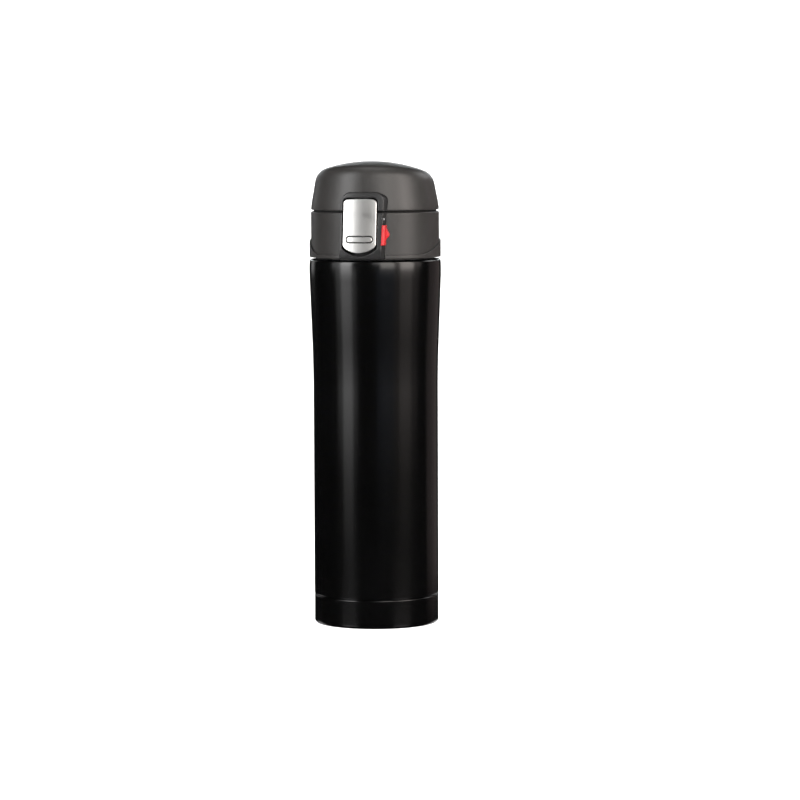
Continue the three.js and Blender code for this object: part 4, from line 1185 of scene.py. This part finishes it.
def rib(angle, inner, outer, top_z):
    """A thin web under the cover's roof, from the seal's seat out to the wall."""
    side = [(inner, top_z + 0.4), (inner, top_z - 2.2, 0.5), (outer, top_z - 2.8, 0.8), (outer, top_z - 0.2)]
    web = slab(rounded(side), -0.5, 0.5, 0.15, 0.15)
    cosine, sine = math.cos(angle), math.sin(angle)
    return moved(web, lambda u, depth, v: (u * sine - depth * cosine, -u * cosine - depth * sine, v))


def seal():
    narrow = (seal_high.y - seal_low.y) / (seal_high.x - seal_low.x)
    low, high = seal_low.z, seal_high.z
    profile = [(0, low + 0.8)] + rounded([
        (8.6, low + 0.8),
        (9.2, low + 0.8, 0.3),
        (9.6, low, 0.3),
        (12.4, low, 0.4),
        (13, low + 0.8, 0.3),
        (15, low + 1, 0.3),
        (15, high, 0.3),
        (0, high),
    ], False)
    return lathe(profile, 128, lambda x, y, z: (x, y * narrow + SPOUT_Y, z))


def liner_screw(x):
    """A screw whose head, with a cross cut into it, points down."""
    low, high = node_box("liner_screw_right")
    centre_y = (low.y + high.y) / 2
    head, shank, head_top = 2.3, 1.05, low.z + 1.4
    profile = [(0, low.z), (head, low.z, 0.6), (head, head_top, 0.1)]
    profile += [(shank, head_top), (shank, high.z), (0, high.z)]
    reach, thin = 1.35, 0.28
    cross = [box_tool((-u, -v, low.z - 1), (u, v, low.z + 0.6)) for u, v in ((reach, thin), (thin, reach))]
    bm = combine("screw", lathe(rounded(profile, False), 40), "DIFFERENCE", *cross)
    return moved(bm, lambda a, b, c: (a + x, b + centre_y, c))


def in_cover_seam(centre):
    return centre.z < rebate_top(centre.y) and math.hypot(centre.x, centre.y) < COVER_RADIUS - 0.4


dome = piece("cover_dome", cover(), "flip_cover", "lid_plastic", ["cover_shell"])
# paints shade on the rebate inside the cover's rim
paint_shade_faces(dome, SEAM_PAINTED_SHADE, in_cover_seam)
piece("cover_inner_roof", cover_roof(), "flip_cover", "inner_plastic", ["cover_liner"])
piece("spout_seal_pad", seal(), "flip_cover", "silicone", ["spout_seal"])
for side, x in (("right", POST_X), ("left", -POST_X)):
    name = "liner_screw_" + side
    piece("cross_head_screw_" + side, liner_screw(x), "flip_cover", "spring_steel", [name])


# ---------------------------------------------------------------- carried-over CAD pieces
def dress(node, material):
    """Gives a CAD node its material and softened edges."""
    obj = frame["nodes"][node]
    obj.data.materials.clear()
    obj.data.materials.append(material)
    bevel = obj.modifiers.new("soft_edges", "BEVEL")
    bevel.width = 0.12 * MM
    bevel.segments = 2
    bevel.limit_method = "ANGLE"
    bevel.angle_limit = math.radians(40)


CARRIED_SLOTS = {
    "stopper_core": "inner_plastic",
    "stopper_gasket": "silicone",
    "spout_gasket": "silicone",
    "vacuum_base_disc": "steel",
    "glass_seal_bead": "seal_glass",
    "getter_pellet": "getter",
}
for node, slot in CARRIED_SLOTS.items():
    dress(node, SLOT_MATERIAL[slot])


# ---------------------------------------------------------------- studio
def stage_material():
    n = Nodes("studio_paper")
    colour = n.ramp(n.noise(8, 2), grey(0.86), grey(0.9))
    n.surface(colour, n.range(n.noise(300, 2), 0.75, 0.85), n.bump(n.noise(900, 2), 0.0001, 0.1))
    n.set(Specular_IOR_Level=0.0, Emission_Color=(1, 1, 1, 1), Emission_Strength=0.5)
    return n.material


def cyclorama():
    """A pale round floor that sweeps up into a wall all round the object and the camera."""
    floor_radius, sweep, wall_z = 2.1, 0.8, 2.6
    profile = [(0, 0), (0.5, 0), (1.2, 0), (floor_radius, 0)]
    profile += arc((floor_radius, sweep), sweep, -90, 0, 24) + [(floor_radius + sweep, wall_z)]
    bm = lathe(profile, 96)
    bmesh.ops.reverse_faces(bm, faces=bm.faces)
    for face in bm.faces:
        face.smooth = True
    obj = add_object("studio_sweep", to_mesh("studio_sweep", bm))
    obj.data.materials.append(stage_material())
    obj.visible_glossy = False


def area_light(name, width, height, radiance, colour=(1, 1, 1)):
    """A rectangle of light that the camera doesn't see."""
    data = bpy.data.lights.new(name, "AREA")
    data.shape = "RECTANGLE"
    data.size, data.size_y = width, height
    data.energy = radiance * math.pi * width * height
    data.color = colour
    obj = add_object(name, data)
    obj.visible_camera = False
    return obj


def softbox(name, azimuth, distance, span, low_z, high_z, radiance, colour=(1, 1, 1)):
    """An upright panel of light; azimuth 0 is before the button, and positive to its right."""
    width = 2 * distance * math.tan(math.radians(span) / 2)
    obj = area_light(name, width, high_z - low_z, radiance, colour)
    angle = math.radians(azimuth)
    obj.location = (distance * math.sin(angle), -distance * math.cos(angle), (low_z + high_z) / 2)
    obj.rotation_euler = (math.radians(90), 0, angle)


def overhead(name, size, z, radiance):
    """A square light that faces down."""
    obj = area_light(name, size, size, radiance)
    obj.location = (0, 0, z)
    return obj


# Name, azimuth in degrees, distance in metres, span in degrees, low and high edge in metres,
# radiance and, where it isn't white, colour.
PANELS = [
    ("left_panel", -39, 1.3, 22, 0.26, 1.3, 5.6),
    ("left_middle_panel", -39, 1.3, 21, 0.1, 0.26, 3.4),
    ("left_low_panel", -39, 1.3, 20, -0.02, 0.1, 1.3),
    ("left_foot_panel", -39, 1.3, 19, -0.1, -0.02, 0.3),
    ("left_wide_panel", -40, 1.35, 40, 0.0, 0.18, 0.75),
    ("left_wide_high_panel", -49, 1.35, 36, 0.18, 1.3, 1.4),
    ("left_floor_panel", -39, 1.3, 30, -0.9, -0.25, 1.6),
    ("front_panel", 16, 1.3, 14, 0.3, 1.3, 1.5),
    ("front_right_panel", 34, 1.3, 24, 0.2, 1.3, 4.2, (1, 0.96, 0.91)),
    ("front_right_low_panel", 31, 1.3, 32, 0.0, 0.2, 0.2, (0.55, 0.7, 1)),
    ("right_panel", 70, 1.3, 26, 0.16, 1.3, 4.6, (1, 0.93, 0.88)),
    ("right_low_panel", 68, 1.3, 24, 0.0, 0.16, 0.5, (1, 0.92, 0.87)),
    ("right_wide_panel", 70, 1.35, 50, 0.0, 0.2, 0.28, (1, 0.88, 0.84)),
    ("right_wide_high_panel", 72, 1.35, 56, 0.2, 1.3, 1.0, (1, 0.92, 0.87)),
    ("right_floor_panel", 62, 1.3, 30, -0.9, -0.25, 1.3, (1, 0.96, 0.93)),
    ("back_right_panel", 142, 1.6, 44, -0.2, 0.7, 0.2, (1, 0.82, 0.8)),
    ("back_left_panel", -128, 1.6, 16, 0.1, 0.9, 0.7),
    ("back_floor_panel", 165, 1.3, 30, -0.9, -0.25, 1.4),
    ("side_floor_panel", -125, 1.3, 24, -0.9, -0.25, 1.2),
    ("high_right_panel", 140, 1.6, 30, 0.7, 1.4, 2.4),
    ("back_panel", 193, 1.8, 50, 0.42, 0.85, 2.6, (0.93, 0.98, 1)),
]


def studio_lights():
    for panel in PANELS:
        softbox(*panel)
    overhead("overhead_panel", 0.8, 1.6, 1.6)
    overhead("ceiling", 3.0, 2.5, 1.5).visible_glossy = False


def studio_world():
    world = bpy.data.worlds.new("studio_world")
    world.use_nodes = True
    background = world.node_tree.nodes["Background"]
    background.inputs["Color"].default_value = (1, 1, 1, 1)
    background.inputs["Strength"].default_value = 0.009
    bpy.context.scene.world = world
    bpy.context.scene.view_settings.view_transform = "Standard"


def camera():
    """Stands where the photographer stood: a long lens a little to the button's right."""
    azimuth, distance, height = math.radians(13), 1.840, 0.2659
    pitch, yaw, roll = math.radians(-4.62), math.radians(-0.397), math.radians(-0.22)
    data = bpy.data.cameras.new("camera")
    data.lens = 157.6
    data.sensor_width = 36
    data.clip_start, data.clip_end = 0.1, 20
    obj = add_object("camera", data)
    obj.location = (distance * math.sin(azimuth), -distance * math.cos(azimuth), height)
    heading = Matrix.Rotation(azimuth + yaw, 3, "Z")
    tilt = Matrix.Rotation(math.radians(90) + pitch, 3, "X")
    obj.rotation_euler = (heading @ tilt @ Matrix.Rotation(roll, 3, "Z")).to_euler()
    bpy.context.scene.camera = obj


cyclorama()
studio_lights()
studio_world()
camera()
